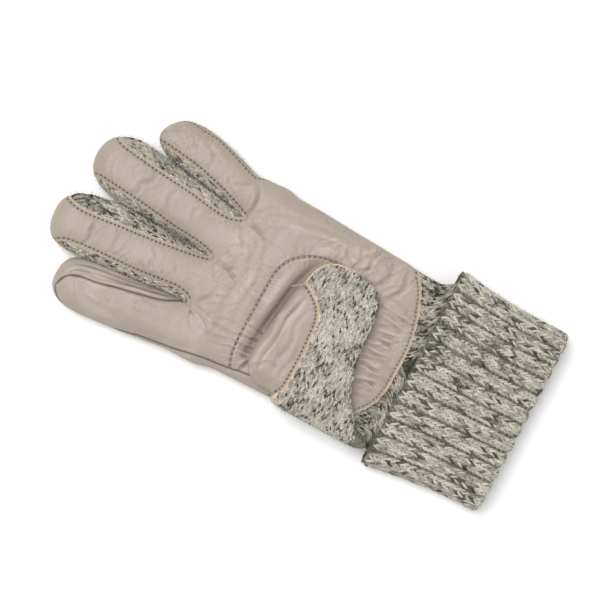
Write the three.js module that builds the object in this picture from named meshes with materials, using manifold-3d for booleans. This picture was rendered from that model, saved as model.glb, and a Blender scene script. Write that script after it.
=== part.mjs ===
// A left-hand winter glove, lying on its back with the thumb folded over the palm.
// The palm and finger fronts are thin leather; the back, the walls between the fingers and the wrist
// are knitted wool, and a ribbed cuff is turned back over the wrist.
// Millimetres. +X points to the little finger, +Y to the fingertips, +Z up out of the palm.
import * as THREE from "three";
import { mergeVertices } from "three/addons/utils/BufferGeometryUtils.js";
import Module from "manifold-3d";

const wasm = await Module();
wasm.setup();

// ---- driving dimensions -------------------------------------------------------------------------

const GAP = 0.3; // clearance between two pieces that are sewn together
const WALL = 1.7; // wall of the sewn hand, fingers and thumb
const ROUND_STEPS = 3; // facets across a rounded edge
const TUBE_STEPS = 18; // facets round a finger
const TIP_STEPS = 5; // facets from a finger's side to its tip
const FAR = 400; // half the side of a cutting block

const HAND = {
  height: 17.2, // floor to palm, lying flat
  edge: 9, // width of the rounded edge, seen from above
  wristY: 68, // where the sewn hand meets the cuff
  knuckleY: 187, // the line where the fingers leave the hand
  beyondY: 205, // the hand's rounded end lies past the knuckle line, so the cut there is square
  threadHalf: 37, // rows of stitches lie on the flat of the palm, this far to each side
  seamZ: 6, // height where the leather meets the knitted back along the edge
  left: [[-47.4, 50], [-48.6, 100], [-49.4, 150], [-51]], // the last point is at the outline's end
  right: [[46.5, 50], [48.2, 105], [50.6, 150], [51]],
};

// Each finger: where its axis crosses the knuckle line, where its tip is, its half width at the root
// and near the tip, its height and the wall material on each side (null where leather meets knit).
const FINGERS = {
  index: { root: -38.4, tip: [-43.4, 256.5], half: [12.5, 13.6], height: 15.6, left: "leather", right: "leather" },
  middle: { root: -10.9, tip: [-13.4, 272.8], half: [12.6, 15.6], height: 16, left: "knit", right: "knit" },
  ring: { root: 15.6, tip: [23.2, 267], half: [12.2, 15.6], height: 16, left: "knit", right: "knit" },
  little: { root: 40.2, tip: [51.4, 242], half: [10.4, 10.8], height: 15, left: "knit", right: null },
};
const FINGER_ROOT = 24; // how far a finger's tube runs into the hand
const SIDE_BAND = [0.34, 0.68]; // the side wall's lower and upper edge, as shares of the height
const TIP_CAP = 7; // length of the fingertip that the front panel wraps
const TIP_SQUARE = 0.7; // 1 gives a round fingertip, less gives a squarer one

// The seam that sets the thumb into the palm, from the hand's edge over the arch to the wrist.
const THUMB_HOLE = [
  [-44, 152.5], [-30, 155], [-10, 154.6], [8, 154], [18, 151.5],
  [26, 145], [30.5, 135], [30, 118], [25, 102], [21, 88], [20, 76],
];
// The hem where the leather ends at the wrist, from the little-finger edge to the thumb edge.
const WRIST_HEM = [[46.5, 86], [38, 79.5], [22, 74], [0, 72.5], [-20, 73], [-30, 77], [-36, 82]];
const EDGE_X = -44.2; // the leather or knit of the thumb-side edge lies left of this
const EDGE_KNIT_Y = 121.7; // below this, the thumb-side edge is knitted

const THUMB = {
  outline: [
    [-60, 78], [-47, 79], [-38, 82], [-30, 87.5], [-20, 92], [-8, 94.6], [6, 95.2], [18, 97],
    [27.5, 104], [31, 116], [28, 128], [20, 135], [8, 138], [-8, 141], [-24, 143], [-40, 143.4], [-60, 143.4],
  ],
  baseX: -47, // the open end, at the hand's edge
  low: 17.6,
  high: 30.6,
  edge: 6.5,
  seamZ: 22.5, // where leather meets knit along the lower edge
  seam: [[-44, 120.5], [-20, 120.3], [-2, 121], [6, 125], [11, 131], [14.5, 137]],
};

const CUFF = {
  centreX: 1,
  length: 66.5, // from the fold to the free edge of the turned-back layer
  wall: 2.5,
  half: 53.5, // half width at the fold
  flare: 0.075, // how much wider the free edge is than the fold
  height: 19,
  innerHalf: 48,
  innerHeight: 14,
  ribs: 11, // on each flat side
  ribStep: 8.7,
  ribHalf: 2.6,
  ribRise: 0.9,
};

const HINGE_Z = 17.5; // height of the knuckle line and of the thumb's crease
const THUMB_HINGE_X = -48;
const THREAD = 0.7; // side of the square that stands for a row of stitches
const THREAD_STEPS = 36;
const HEM_INSET = 2; // the stitches run this far inside a cut edge

// ---- materials ----------------------------------------------------------------------------------

const paint = (color, roughness) => new THREE.MeshStandardMaterial({ color, roughness, metalness: 0 });
const LOOKS = {
  leather: () => paint(0xb7a897, 0.5),
  knit: () => paint(0xa4a298, 0.95),
  rib: () => paint(0xa9a69a, 0.95),
  thread: () => paint(0x6d6257, 0.8),
};

// ---- solids -------------------------------------------------------------------------------------

function solid(geometry) {
  const bare = new THREE.BufferGeometry().setAttribute("position", geometry.getAttribute("position"));
  if (geometry.index) bare.setIndex(geometry.index);
  const merged = mergeVertices(bare, 1e-3);
  return new wasm.Manifold(new wasm.Mesh({
    numProp: 3,
    vertProperties: merged.attributes.position.array,
    triVerts: new Uint32Array(merged.index.array),
  }));
}

function geometryOf(body) {
  const mesh = body.getMesh();
  return new THREE.BufferGeometry()
    .setAttribute("position", new THREE.BufferAttribute(mesh.vertProperties, 3))
    .setIndex(new THREE.BufferAttribute(mesh.triVerts, 1));
}

const join = (...bodies) => bodies.reduce((a, b) => a.add(b));
const points2 = (list) => list.map(([x, y]) => new THREE.Vector2(x, y));

// A block between two corners; a missing bound runs far past everything.
function block({ x = [-FAR, FAR], y = [-FAR, FAR], z = [-FAR, FAR] }) {
  const box = new THREE.BoxGeometry(x[1] - x[0], y[1] - y[0], z[1] - z[0]);
  return solid(box.translate((x[0] + x[1]) / 2, (y[0] + y[1]) / 2, (z[0] + z[1]) / 2));
}

// Everything above a plan outline, from the floor up.
function column(outline) {
  const shape = new THREE.Shape(points2(outline));
  return solid(new THREE.ExtrudeGeometry(shape, { depth: 2 * FAR, bevelEnabled: false }).translate(0, 0, -FAR));
}

// The outline moved inward, with every corner mitred.
function shrink(outline, by) {
  const points = points2(outline);
  return points.map((point, i) => {
    const into = point.clone().sub(points.at(i - 1)).normalize();
    const out = points[(i + 1) % points.length].clone().sub(point).normalize();
    const reach = by / (1 + into.dot(out));
    return [point.x - reach * (into.y + out.y), point.y + reach * (into.x + out.x)];
  });
}

// A closed skin over rings of points that run anticlockwise, stacked from the lowest to the highest.
function loft(rings) {
  const count = rings[0].length;
  const places = rings.flat();
  const faces = [];
  for (let r = 0; r + 1 < rings.length; r++) {
    for (let i = 0; i < count; i++) {
      const a = r * count + i;
      const b = r * count + ((i + 1) % count);
      faces.push(a, b, b + count, a, b + count, a + count);
    }
  }
  for (const [ring, start, flip] of [[rings[0], 0, true], [rings.at(-1), (rings.length - 1) * count, false]]) {
    const middle = places.push(ring.reduce((sum, p) => sum.map((v, k) => v + p[k] / count), [0, 0, 0])) - 1;
    for (let i = 0; i < count; i++) {
      const pair = [start + i, start + ((i + 1) % count)];
      faces.push(...(flip ? pair.reverse() : pair), middle);
    }
  }
  return solid(new THREE.BufferGeometry()
    .setAttribute("position", new THREE.Float32BufferAttribute(places.flat(), 3))
    .setIndex(faces));
}

// A flat pillow: a plan outline between two heights, its edge rounded; inset shrinks it on every side.
function pillow(outline, low, high, edge, inset = 0) {
  const rings = [];
  for (let step = -ROUND_STEPS; step <= ROUND_STEPS; step++) {
    const turn = (step / ROUND_STEPS) * (Math.PI / 2);
    const z = (low + high) / 2 + ((high - low) / 2 - inset) * Math.sin(turn);
    rings.push(shrink(outline, edge - (edge - inset) * Math.cos(turn)).map(([x, y]) => [x, y, z]));
  }
  return loft(rings);
}

// ---- the hand -----------------------------------------------------------------------------------

const smooth = (list, steps) => new THREE.SplineCurve(points2(list)).getPoints(steps).map((p) => p.toArray());
const handOutline = (endY) => {
  const [left, right] = [HAND.left, HAND.right].map((side) => smooth(side.map(([x, y = endY]) => [x, y]), 6));
  return [...left.reverse(), ...right];
};

// One finger's tube: a turned profile with a domed tip, flattened and laid along its axis.
function fingerTube(finger, inset = 0) {
  const run = new THREE.Vector2(finger.tip[0] - finger.root, finger.tip[1] - HAND.knuckleY);
  const [atRoot, nearTip] = finger.half.map((half) => half - inset);
  const length = run.length() - inset;
  const dome = nearTip * 0.8;
  const profile = [
    [0, -FINGER_ROOT], [atRoot, -FINGER_ROOT], [atRoot, 0],
    [atRoot + 0.55 * (nearTip - atRoot), 0.35 * length],
    [nearTip, length - dome - 6],
  ];
  for (let step = 0; step < TIP_STEPS; step++) {
    const turn = (step / TIP_STEPS) * (Math.PI / 2);
    profile.push([
      nearTip * Math.cos(turn) ** TIP_SQUARE,
      length - dome + dome * Math.sin(turn) ** TIP_SQUARE,
    ]);
  }
  profile.push([0, length]);
  const flat = (finger.height / 2 - inset) / nearTip;
  return solid(new THREE.LatheGeometry(points2(profile), TUBE_STEPS)
    .scale(1, 1, flat)
    .rotateZ(-Math.atan2(run.x, run.y))
    .translate(finger.root, HAND.knuckleY, finger.height / 2));
}

const fingers = Object.entries(FINGERS);
const handOuter = pillow(handOutline(HAND.beyondY), 0, HAND.height, HAND.edge);
const handInner = join(
  pillow(handOutline(HAND.knuckleY), 0, HAND.height, HAND.edge, WALL),
  ...fingers.map(([, finger]) => fingerTube(finger, WALL + GAP)),
);
const handShell = handOuter.subtract(handInner)
  .intersect(block({ y: [HAND.wristY, HAND.knuckleY - GAP / 2] }));

const hemLine = smooth(WRIST_HEM, 16);
const holeLine = smooth(THUMB_HOLE, 26);

// In plan, the knitted part of the palm side: the wrist below the hem, and the thumb-side edge.
const knitPlan = (gap) => column([
  [-FAR, -FAR], [FAR, -FAR], [FAR, WRIST_HEM[0][1] + gap],
  ...hemLine.map(([x, y]) => [x, y + gap]),
  [EDGE_X + gap, 88 + gap], [EDGE_X + gap, EDGE_KNIT_Y + gap], [-FAR, EDGE_KNIT_Y + gap],
]);
// In plan, the leather inside the seam that sets the thumb in.
const gussetPlan = (gap) => column([
  [EDGE_X + GAP, holeLine[0][1] + gap],
  ...holeLine.map(([x, y], i) => [x + gap, i < holeLine.length / 2 ? y + gap : y]),
  [holeLine.at(-1)[0] + gap, HAND.wristY - 8], [EDGE_X + GAP, HAND.wristY - 8],
]);

const biggest = (body) => body.decompose().sort((a, b) => b.volume() - a.volume())[0];
const knitBack = handShell.intersect(join(block({ z: [-FAR, HAND.seamZ - GAP] }), knitPlan(0)));
const leather = handShell.intersect(block({ z: [HAND.seamZ, FAR] })).subtract(knitPlan(GAP));
const palm = leather.subtract(block({ x: [-FAR, EDGE_X + GAP] }));
const strip = leather.intersect(block({ x: [-FAR, EDGE_X] }));

const onPalm = (line, rise) => line
  .filter(([x]) => Math.abs(x) < HAND.threadHalf)
  .map(([x, y]) => [x, y + rise, HAND.height + THREAD]);
const handPieces = () => ({
  palm_leather: [biggest(palm.subtract(gussetPlan(GAP))), "leather"],
  thumb_gusset_leather: [biggest(palm.intersect(gussetPlan(0))), "leather"],
  side_strip_leather: [biggest(strip), "leather"],
  hand_back_knit: [biggest(knitBack), "knit"],
  rib_cuff: [ribCuff(), "rib"],
  thumb_hole_stitching: [stitchRow(onPalm(holeLine.slice(0, -2), 0)), "thread"],
  wrist_hem_stitching: [stitchRow(onPalm(hemLine, HEM_INSET)), "thread"],
});

// ---- the cuff -----------------------------------------------------------------------------------

function stadium(half, height, Path = THREE.Shape) {
  const radius = height / 2;
  const outline = new Path();
  outline.absarc(half - radius, 0, radius, -Math.PI / 2, Math.PI / 2, false);
  outline.absarc(radius - half, 0, radius, Math.PI / 2, 1.5 * Math.PI, false);
  return outline;
}

// A flattened sleeve that runs along +Y from one place to another.
function sleeve(half, height, innerHalf, innerHeight, from, to) {
  const ring = stadium(half, height);
  ring.holes.push(stadium(innerHalf, innerHeight, THREE.Path));
  const geometry = new THREE.ExtrudeGeometry(ring, { depth: to - from, bevelEnabled: false, curveSegments: 10 });
  return geometry.rotateX(Math.PI / 2).translate(0, to, 0);
}

// Widens a piece of the cuff from its fold to its free edge.
function flared(geometry) {
  const places = geometry.getAttribute("position");
  for (let i = 0; i < places.count; i++) {
    places.setX(i, places.getX(i) * (1 + (CUFF.flare * places.getY(i)) / CUFF.length));
  }
  return geometry;
}

function rib(x, side) {
  const { length, ribHalf, ribRise, height } = CUFF;
  return new THREE.CylinderGeometry(ribHalf, ribHalf, length - 1, 10)
    .scale(1, 1, (1.3 * ribRise) / ribHalf)
    .translate(x, length / 2, side * (height / 2 - 0.3 * ribRise));
}

// The cuff is one ribbed tube: an inner layer from the wrist to the fold, and an outer layer back over it.
function ribCuff() {
  const { half, height, wall, innerHalf, innerHeight, length, ribs, ribStep, ribRise } = CUFF;
  const parts = [
    flared(sleeve(half, height, half - wall, height - 2 * wall, 0, length)),
    sleeve(innerHalf, innerHeight, innerHalf - wall, innerHeight - 2 * wall, 0, HAND.wristY - GAP),
    sleeve(half - 0.5, height - 1, innerHalf - wall, innerHeight - 2 * wall, 0, wall),
  ];
  for (let i = 0; i < ribs; i++) {
    const x = (i - (ribs - 1) / 2) * ribStep;
    parts.push(flared(rib(x, 1)), flared(rib(x, -1)));
  }
  return join(...parts.map((part) => solid(part.translate(CUFF.centreX, 0, height / 2 + ribRise))));
}

// ---- stitching ----------------------------------------------------------------------------------

function stitchRow(route) {
  const half = THREAD / 2;
  const section = new THREE.Shape(points2([[-half, -half], [half, -half], [half, half], [-half, half]]));
  const extrudePath = new THREE.CatmullRomCurve3(route.map((p) => new THREE.Vector3(...p)));
  return solid(new THREE.ExtrudeGeometry(section, { steps: THREAD_STEPS, extrudePath, bevelEnabled: false }));
}

// ---- one finger ---------------------------------------------------------------------------------

function fingerPieces(name, finger) {
  const shell = fingerTube(finger).subtract(fingerTube(finger, WALL))
    .intersect(block({ y: [HAND.knuckleY + GAP / 2, FAR] }));
  const [low, high] = SIDE_BAND.map((share) => share * finger.height);
  const capY = finger.tip[1] - TIP_CAP;
  const slope = (finger.tip[0] - finger.root) / (finger.tip[1] - HAND.knuckleY);
  const axisX = (y) => finger.root + slope * (y - HAND.knuckleY);
  const half = (side) => column([[axisX(0), 0], [axisX(FAR), FAR], [side * FAR, FAR], [side * FAR, 0]]);
  const cap = block({ y: [capY, FAR], z: [low, FAR] });
  const pieces = {};
  const front = [block({ z: [high, FAR] }), cap];
  if (finger.right === null) front.push(half(1).intersect(block({ z: [low, high + GAP] })));
  pieces[`${name}_front_leather`] = [shell.intersect(join(...front)), "leather"];
  pieces[`${name}_back_knit`] = [shell.intersect(block({ z: [-FAR, low - GAP] })), "knit"];
  const band = shell.intersect(block({ y: [-FAR, capY - GAP], z: [low, high - GAP] }));
  for (const [side, word] of [[-1, "left"], [1, "right"]]) {
    const material = finger[word];
    if (material) pieces[`${name}_${word}_fourchette_${material}`] = [biggest(band.intersect(half(side))), material];
  }
  return pieces;
}

// ---- the thumb ----------------------------------------------------------------------------------

function thumbPieces() {
  const outline = smooth(THUMB.outline, 30);
  const shell = pillow(outline, THUMB.low, THUMB.high, THUMB.edge)
    .subtract(pillow(outline, THUMB.low, THUMB.high, THUMB.edge, WALL))
    .intersect(block({ x: [THUMB.baseX, FAR] }));
  const seam = smooth(THUMB.seam, 14);
  const above = (gap) => column([
    [-FAR, FAR], [-FAR, seam[0][1] - gap], ...seam.map(([x, y]) => [x + gap, y - gap]), [seam.at(-1)[0] + gap, FAR],
  ]);
  const front = join(block({ z: [-FAR, THUMB.seamZ] }), above(0));
  const back = block({ z: [THUMB.seamZ + GAP, FAR] }).subtract(above(GAP));
  const stitches = seam.slice(1, -3).map(([x, y]) => [x, y + HEM_INSET, THUMB.high + THREAD]);
  return {
    thumb_front_leather: [shell.intersect(front), "leather"],
    thumb_back_knit: [shell.intersect(back), "knit"],
    thumb_seam_stitching: [stitchRow(stitches), "thread"],
  };
}

// ---- assembly -----------------------------------------------------------------------------------

// A group whose origin is on its joint, holding one named mesh for each piece.
function body(pieces, joint = [0, 0, 0]) {
  const group = new THREE.Group();
  group.position.set(...joint);
  for (const [name, [piece, look]] of Object.entries(pieces)) {
    const geometry = geometryOf(piece).translate(-joint[0], -joint[1], -joint[2]);
    const mesh = new THREE.Mesh(geometry, LOOKS[look]());
    mesh.name = name;
    group.add(mesh);
  }
  return group;
}

const glove = new THREE.Group();
glove.add(body(handPieces()));
for (const [name, finger] of fingers) {
  glove.add(body(fingerPieces(name, finger), [finger.root, HAND.knuckleY, HINGE_Z]));
}
glove.add(body(thumbPieces(), [THUMB_HINGE_X, EDGE_KNIT_Y, HINGE_Z]));

// The origin is under the middle of the glove, on the surface that it lies on.
glove.updateMatrixWorld(true);
const box = new THREE.Box3().setFromObject(glove, true);
const centre = box.getCenter(new THREE.Vector3());
glove.position.set(-centre.x, -centre.y, -box.min.z);

export default glove;
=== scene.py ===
"""A left-hand winter glove, palm up: leather over the palm, wool knit behind, a ribbed cuff turned back.

Shapes are worked out in millimetres in the glove's own plan: x to the little finger, y from the fold of
the cuff to the fingertips, z up from the surface. shown() moves them to the row frame in metres."""

import math
from functools import partial

import bpy
import numpy as np
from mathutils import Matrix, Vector
from mathutils.bvhtree import BVHTree
from mathutils.kdtree import KDTree


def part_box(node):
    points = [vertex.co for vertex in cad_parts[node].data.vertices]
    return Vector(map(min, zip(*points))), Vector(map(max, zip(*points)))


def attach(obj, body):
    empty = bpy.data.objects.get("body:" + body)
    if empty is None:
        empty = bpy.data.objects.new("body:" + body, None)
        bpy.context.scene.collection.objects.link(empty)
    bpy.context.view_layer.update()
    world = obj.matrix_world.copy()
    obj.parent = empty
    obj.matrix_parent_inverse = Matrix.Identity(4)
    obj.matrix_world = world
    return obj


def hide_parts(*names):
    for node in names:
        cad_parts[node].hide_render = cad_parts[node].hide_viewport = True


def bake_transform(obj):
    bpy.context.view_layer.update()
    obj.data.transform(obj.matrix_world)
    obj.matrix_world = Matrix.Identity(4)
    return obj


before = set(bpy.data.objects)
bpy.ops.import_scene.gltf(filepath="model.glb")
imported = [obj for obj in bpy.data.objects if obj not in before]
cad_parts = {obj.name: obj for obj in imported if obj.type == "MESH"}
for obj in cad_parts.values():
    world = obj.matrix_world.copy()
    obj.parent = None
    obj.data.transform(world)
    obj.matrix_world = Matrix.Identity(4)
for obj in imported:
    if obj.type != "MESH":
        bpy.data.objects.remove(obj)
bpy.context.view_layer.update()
random = np.random.default_rng(7)

# ---- driving dimensions, in millimetres ----------------------------------------------------------

CUFF_MIDDLE_X = 1.0
STEP = 0.62  # spacing of the grid that the sewn surfaces are found on
SPLIT_Y = 190.6  # the fingers' pieces start here, just past the deepest crotch
YARN_FROM_Y = 186.0  # the fingers' stitches start here, to run under the hand's
WALL_LOW = 4.5  # a finger's knitted walls start this high
BEND_END_Y = 205.0  # a finger's bend ends here; shown() is given it but bends nothing
LEATHER = 1.0  # thickness
KNIT = 1.6
RAISE = 0.8  # how far the leather stands off the knit under it
EDGE_ROLL = 0.9  # width of the cut edge that slopes down to the knit
WALE = 2.15  # width of one knitted column
COURSE = 1.85  # height of one knitted row
SINK = 0.25  # how far the yarn is sunk into its backing
YARN = 0.58  # half thickness of the yarn
LOOSE = {"hand": 5000, "wall": 900, "finger": 1300, "thumb": 3000, "cuff": 9000}  # fibres that stand off
LOWEST = -0.7  # the wool is pressed flat here, where the glove lies on the floor

HAND = {
    "outline": [
        (-46, 58), (-47, 72), (-48.4, 100), (-48.7, 130), (-49.3, 160), (-50.2, 176), (-47, 186),
        (-36, 187.5), (-24.6, 187.6), (-10, 188.5), (2, 188.6), (14, 187.5), (28.7, 183.5), (38, 184.5),
        (47, 184), (50.6, 176), (50.6, 150), (49.4, 130), (47.8, 100), (46.6, 84), (46.6, 72), (46, 58),
    ],
    "round": 11.0,
    "half_height": 8.6,
    "wrist_half_height": 4.9,
    "wrist": (68.0, 106.0),
}
FINGERS = {
    "index": {
        "outline": [
            (-48, 166), (-50.4, 180), (-52.2, 192), (-54.2, 206), (-56, 224), (-57.2, 240), (-55.4, 250),
            (-50.5, 255.6), (-44, 256.8), (-37, 255.6), (-32.6, 251.5), (-30.6, 243), (-29.4, 230),
            (-28, 215), (-26.8, 202), (-26, 190), (-26.5, 178), (-30, 166),
        ],
        "round": 10.5,
        "knitted_walls": (),
        "half_height": 7.6,
    },
    "middle": {
        "outline": [
            (-22, 166), (-24, 178), (-24.5, 190), (-25.7, 205), (-27.4, 222), (-28.8, 238), (-30, 252),
            (-29.9, 262), (-27, 268.6), (-21, 272), (-14, 272.8), (-7.5, 271.6), (-2.2, 267.6),
            (0.8, 261), (2.6, 252), (3.8, 242), (3.6, 230), (2.6, 215), (1.8, 202), (1.6, 190), (1, 178),
            (-1, 166),
        ],
        "round": 11.5,
        "knitted_walls": ("left", "right"),
        "half_height": 7.9,
    },
    "ring": {
        "outline": [
            (4, 166), (2.8, 178), (3, 191), (4.1, 203), (5, 216), (5.3, 229), (5.3, 241), (6.4, 252),
            (9.6, 260.6), (15, 265.6), (22, 267.4), (29.6, 266), (35.6, 261), (38.8, 252.5), (38.4, 243),
            (36.7, 231), (34.6, 218), (32.7, 206), (30.8, 195), (28.9, 184), (28, 176), (26, 166),
        ],
        "round": 11.5,
        "knitted_walls": ("left", "right"),
        "half_height": 7.9,
    },
    "little": {
        "outline": [
            (31, 166), (30, 176), (30.6, 186), (32.8, 196), (34.7, 207), (36.7, 219), (38.6, 231),
            (41.8, 238.6), (46.4, 242), (51.6, 241.4), (57.4, 237), (61, 229.6), (60.6, 217), (58, 206),
            (54.8, 196), (51.6, 187), (50.4, 177), (49.5, 166),
        ],
        "round": 9.5,
        "knitted_walls": ("left",),
        "half_height": 7.0,
    },
}
THUMB = {
    "outline": [
        (-49.7, 74), (-44.5, 76.6), (-38, 80.6), (-31, 86.4), (-22, 90.6), (-10, 93.8), (4, 95),
        (16, 96.2), (23.6, 99), (28.4, 105.4), (30.6, 115), (29.8, 125), (26.6, 131.4), (20.6, 135.2),
        (13, 136.8), (2, 139.6), (-10, 141.4), (-22, 143.4), (-32, 144.2), (-39, 142.6), (-43.4, 137),
        (-44.6, 128), (-47, 122.4), (-49.7, 120),
    ],
    "round": 9.0,
    "low": 17.5,
    "high": 30.5,
}
THUMB_WALL = {
    "outline": [(-50.1, 72), (-44, 72), (-43, 96), (-43, 121.5), (-49.6, 121.5), (-50.1, 100)],
    "round": 3.4,
    "half_height": 12.5,
    "middle_height": 15.5,
}
THUMB_BEND = ((-50, 100, 10), (-38, 100, 22))  # the two ends of the thumb's bend; shown() is given them but bends nothing
CUFF = {
    "length": 66.0,
    "height": 19.6,
    "half": 52.0,
    "flare": 5.8,
    "layer": 2.5,
    "middle": (1.6, 0.4),  # the cuff's own middle at its fold and at its free edge
    "relief": 0.95,
    "course": 2.4,  # height of one knitted row
    "yarn": 1.32,  # the ribs' yarn against the hand's
}

# Where the leather is cut and sewn, in plan.
MIDDLE_LEFT = [
    (-24.4, 187.8), (-22.4, 191.5), (-21.7, 197), (-22.5, 205), (-24, 218), (-25, 235), (-26, 250),
    (-27.2, 260), (-30.6, 266.5),
]
MIDDLE_RIGHT = [
    (2.3, 188.6), (0.9, 194), (0, 201), (-1.5, 212), (-3, 225), (-4.4, 240), (-5.8, 252), (-6.2, 262),
    (-3.8, 272.5),
]
RING_LEFT = [
    (2.3, 188.6), (4.2, 195), (5, 202), (5.8, 212), (6.8, 222), (8.2, 232), (9.2, 242), (10.2, 252),
    (11, 260), (9.4, 266.5),
]
RING_RIGHT = [
    (28.9, 182.6), (26.6, 189), (27, 199), (28.8, 211), (30, 222), (31.2, 235), (33.2, 250), (34.6, 258),
    (38.6, 264),
]
LITTLE_LEFT = [
    (28.9, 182.6), (31.6, 189), (34.6, 197), (37, 205.5), (39.2, 214.5), (40.8, 224), (42, 234),
    (42.6, 240), (41.6, 245.5),
]
INDEX_FRONT = [
    (-24.4, 187.8), (-27, 192.5), (-30.4, 200), (-33.3, 212), (-36, 225), (-38.4, 235), (-39.6, 244),
    (-42.4, 250.4), (-48, 253.4), (-52.6, 251.8), (-57, 246), (-60, 238),
]
INDEX_SIDE = [
    (-60, 222), (-55.8, 218), (-53, 205), (-50.8, 192), (-49.6, 183), (-48, 175), (-46.8, 167),
    (-46, 159), (-45, 151.4), (-43.6, 143), (-42.4, 133), (-41.4, 121), (-41, 112),
]
THUMB_ARCH = [
    (-45, 151.4), (-38, 153.9), (-28, 154.7), (-12, 154.6), (2, 154.3), (12, 153.6), (19.4, 150.4),
    (24.8, 145), (28.4, 138), (30.4, 129), (30.2, 118), (27, 108), (22.4, 99), (20, 90), (19.2, 80),
    (19, 66),
]
WRIST_HEM = [
    (56, 90), (46.4, 85.6), (40, 81), (31, 77), (21, 73.8), (8, 71.6), (-8, 71.6), (-20, 72.4), (-29, 76),
    (-36, 82), (-42, 92), (-44, 104), (-44.6, 116), (-47.5, 123.5), (-58, 124),
]
THUMB_SEAM = [
    (14.4, 142), (14, 136.6), (11.2, 131), (8, 127), (4.6, 123.8), (-1, 121.4), (-10, 120.4),
    (-20, 119.8), (-31, 119.8), (-41, 120.4), (-46, 122.6), (-56, 124),
]
STITCH_IN = 2.2  # the stitches run this far inside a cut edge
STITCH = 2.35  # from one stitch to the next
ARCH_STITCH = 2.9  # the same along the arched seam

# ---- plain arithmetic ----------------------------------------------------------------------------


def smoothstep(value, low=0.0, high=1.0):
    share = np.clip((np.asarray(value, float) - low) / (high - low), 0, 1)
    return share * share * (3 - 2 * share)


def curve(points, per=6, closed=False):
    """A smooth line through the points, with per steps between each two."""
    p = np.array(points, float)
    ends = (p[-1:], p[:2]) if closed else (2 * p[:1] - p[1:2], 2 * p[-1:] - p[-2:-1])
    p = np.vstack([ends[0], p, ends[1]])
    t = np.linspace(0, 1, per, endpoint=False)[:, None]
    parts = []
    for a, b, c, d in zip(p, p[1:], p[2:], p[3:]):
        square, cube = 2 * a - 5 * b + 4 * c - d, 3 * b - a - 3 * c + d
        parts.append(0.5 * (2 * b + (c - a) * t + square * t**2 + cube * t**3))
    line = np.vstack(parts)
    return line if closed else np.vstack([line, p[-2:-1]])


def measured(line, spacing=0.5):
    """The line's points at an even spacing, and each one's distance along it."""
    steps = np.hypot(*np.diff(line, axis=0).T)
    along = np.concatenate([[0], np.cumsum(steps)])
    at = np.arange(0, along[-1], spacing)
    return np.column_stack([np.interp(at, along, line[:, i]) for i in range(2)]), at


def depth_inside(x, y, outline):
    """How far each point is inside a closed outline; negative outside it."""
    nearest = np.full(x.shape, 1e9)
    inside = np.zeros(x.shape, bool)
    for (ax, ay), (bx, by) in zip(outline, np.roll(outline, -1, axis=0)):
        ex, ey = bx - ax, by - ay
        share = np.clip(((x - ax) * ex + (y - ay) * ey) / (ex * ex + ey * ey + 1e-12), 0, 1)
        nearest = np.minimum(nearest, (x - ax - share * ex) ** 2 + (y - ay - share * ey) ** 2)
        if ay != by:
            inside ^= ((ay > y) != (by > y)) & (x < ax + ex * (y - ay) / ey)
    return np.where(inside, 1, -1) * np.sqrt(nearest)


def soft_union(a, b, reach):
    blend = np.maximum(reach - np.abs(a - b), 0) / reach
    return np.minimum(a, b) - blend * blend * reach / 4


LATTICE = random.random((256, 256))


def cloud(x, y, size, layer=0):
    """Smooth random heights from -1 to 1, with features of about the given size."""
    u, v = np.asarray(x) / size + 37.3 * layer + 60, np.asarray(y) / size + 17.9 * layer + 60
    i, j = np.floor(u).astype(int), np.floor(v).astype(int)
    s, t = smoothstep(u - i), smoothstep(v - j)

    def corner(a, b):
        return LATTICE[(i + a) % len(LATTICE), (j + b) % len(LATTICE)]

    low = corner(0, 0) * (1 - s) + corner(1, 0) * s
    high = corner(0, 1) * (1 - s) + corner(1, 1) * s
    return 2 * (low * (1 - t) + high * t) - 1


# ---- meshes as arrays ----------------------------------------------------------------------------


def surface(field, low, step):
    """The surface where a field of values on a grid crosses zero, as (places, triangles)."""
    inside = field < 0
    count = sum(
        inside[i : i - 1 or None, j : j - 1 or None, k : k - 1 or None].astype(np.int8)
        for i in (0, 1) for j in (0, 1) for k in (0, 1)
    )
    cells = np.argwhere((count > 0) & (count < 8))
    number = np.full(count.shape, -1, np.int64)
    number[tuple(cells.T)] = np.arange(len(cells))
    total, crossings = np.zeros((len(cells), 3)), np.zeros(len(cells))
    corners = [np.array([i, j, k]) for i in (0, 1) for j in (0, 1) for k in (0, 1)]
    for a in corners:
        for b in corners:
            if (b - a).sum() != 1 or (b - a).min() < 0:
                continue
            at_a, at_b = field[tuple((cells + a).T)], field[tuple((cells + b).T)]
            crosses = (at_a < 0) != (at_b < 0)
            share = np.where(crosses, at_a / np.where(crosses, at_a - at_b, 1), 0)
            total += crosses[:, None] * (a + share[:, None] * (b - a))
            crossings += crosses
    places = low + step * (cells + total / crossings[:, None])
    quads = []
    for axis in range(3):
        u, v = [np.eye(3, dtype=int)[(axis + n) % 3] for n in (1, 2)]
        near = np.take(inside, range(inside.shape[axis] - 1), axis)
        far = np.take(inside, range(1, inside.shape[axis]), axis)
        for leaving in (True, False):
            at = np.argwhere((near & ~far) if leaving else (~near & far))
            for other in ((axis + 1) % 3, (axis + 2) % 3):
                at = at[(at[:, other] > 0) & (at[:, other] < number.shape[other])]
            loop = [number[tuple((at - shift).T)] for shift in (u + v, v, 0 * u, u)]
            quads.append(np.column_stack(loop if leaving else loop[::-1]))
    quads = np.vstack(quads)
    return places, np.vstack([quads[:, [0, 1, 2]], quads[:, [0, 2, 3]]])


def normals_of(places, faces):
    corner = places[faces]
    facing = np.cross(corner[:, 1] - corner[:, 0], corner[:, 2] - corner[:, 0])
    total = np.zeros_like(places)
    for k in range(3):
        np.add.at(total, faces[:, k], facing)
    return total / np.maximum(np.linalg.norm(total, axis=1, keepdims=True), 1e-12)


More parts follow.
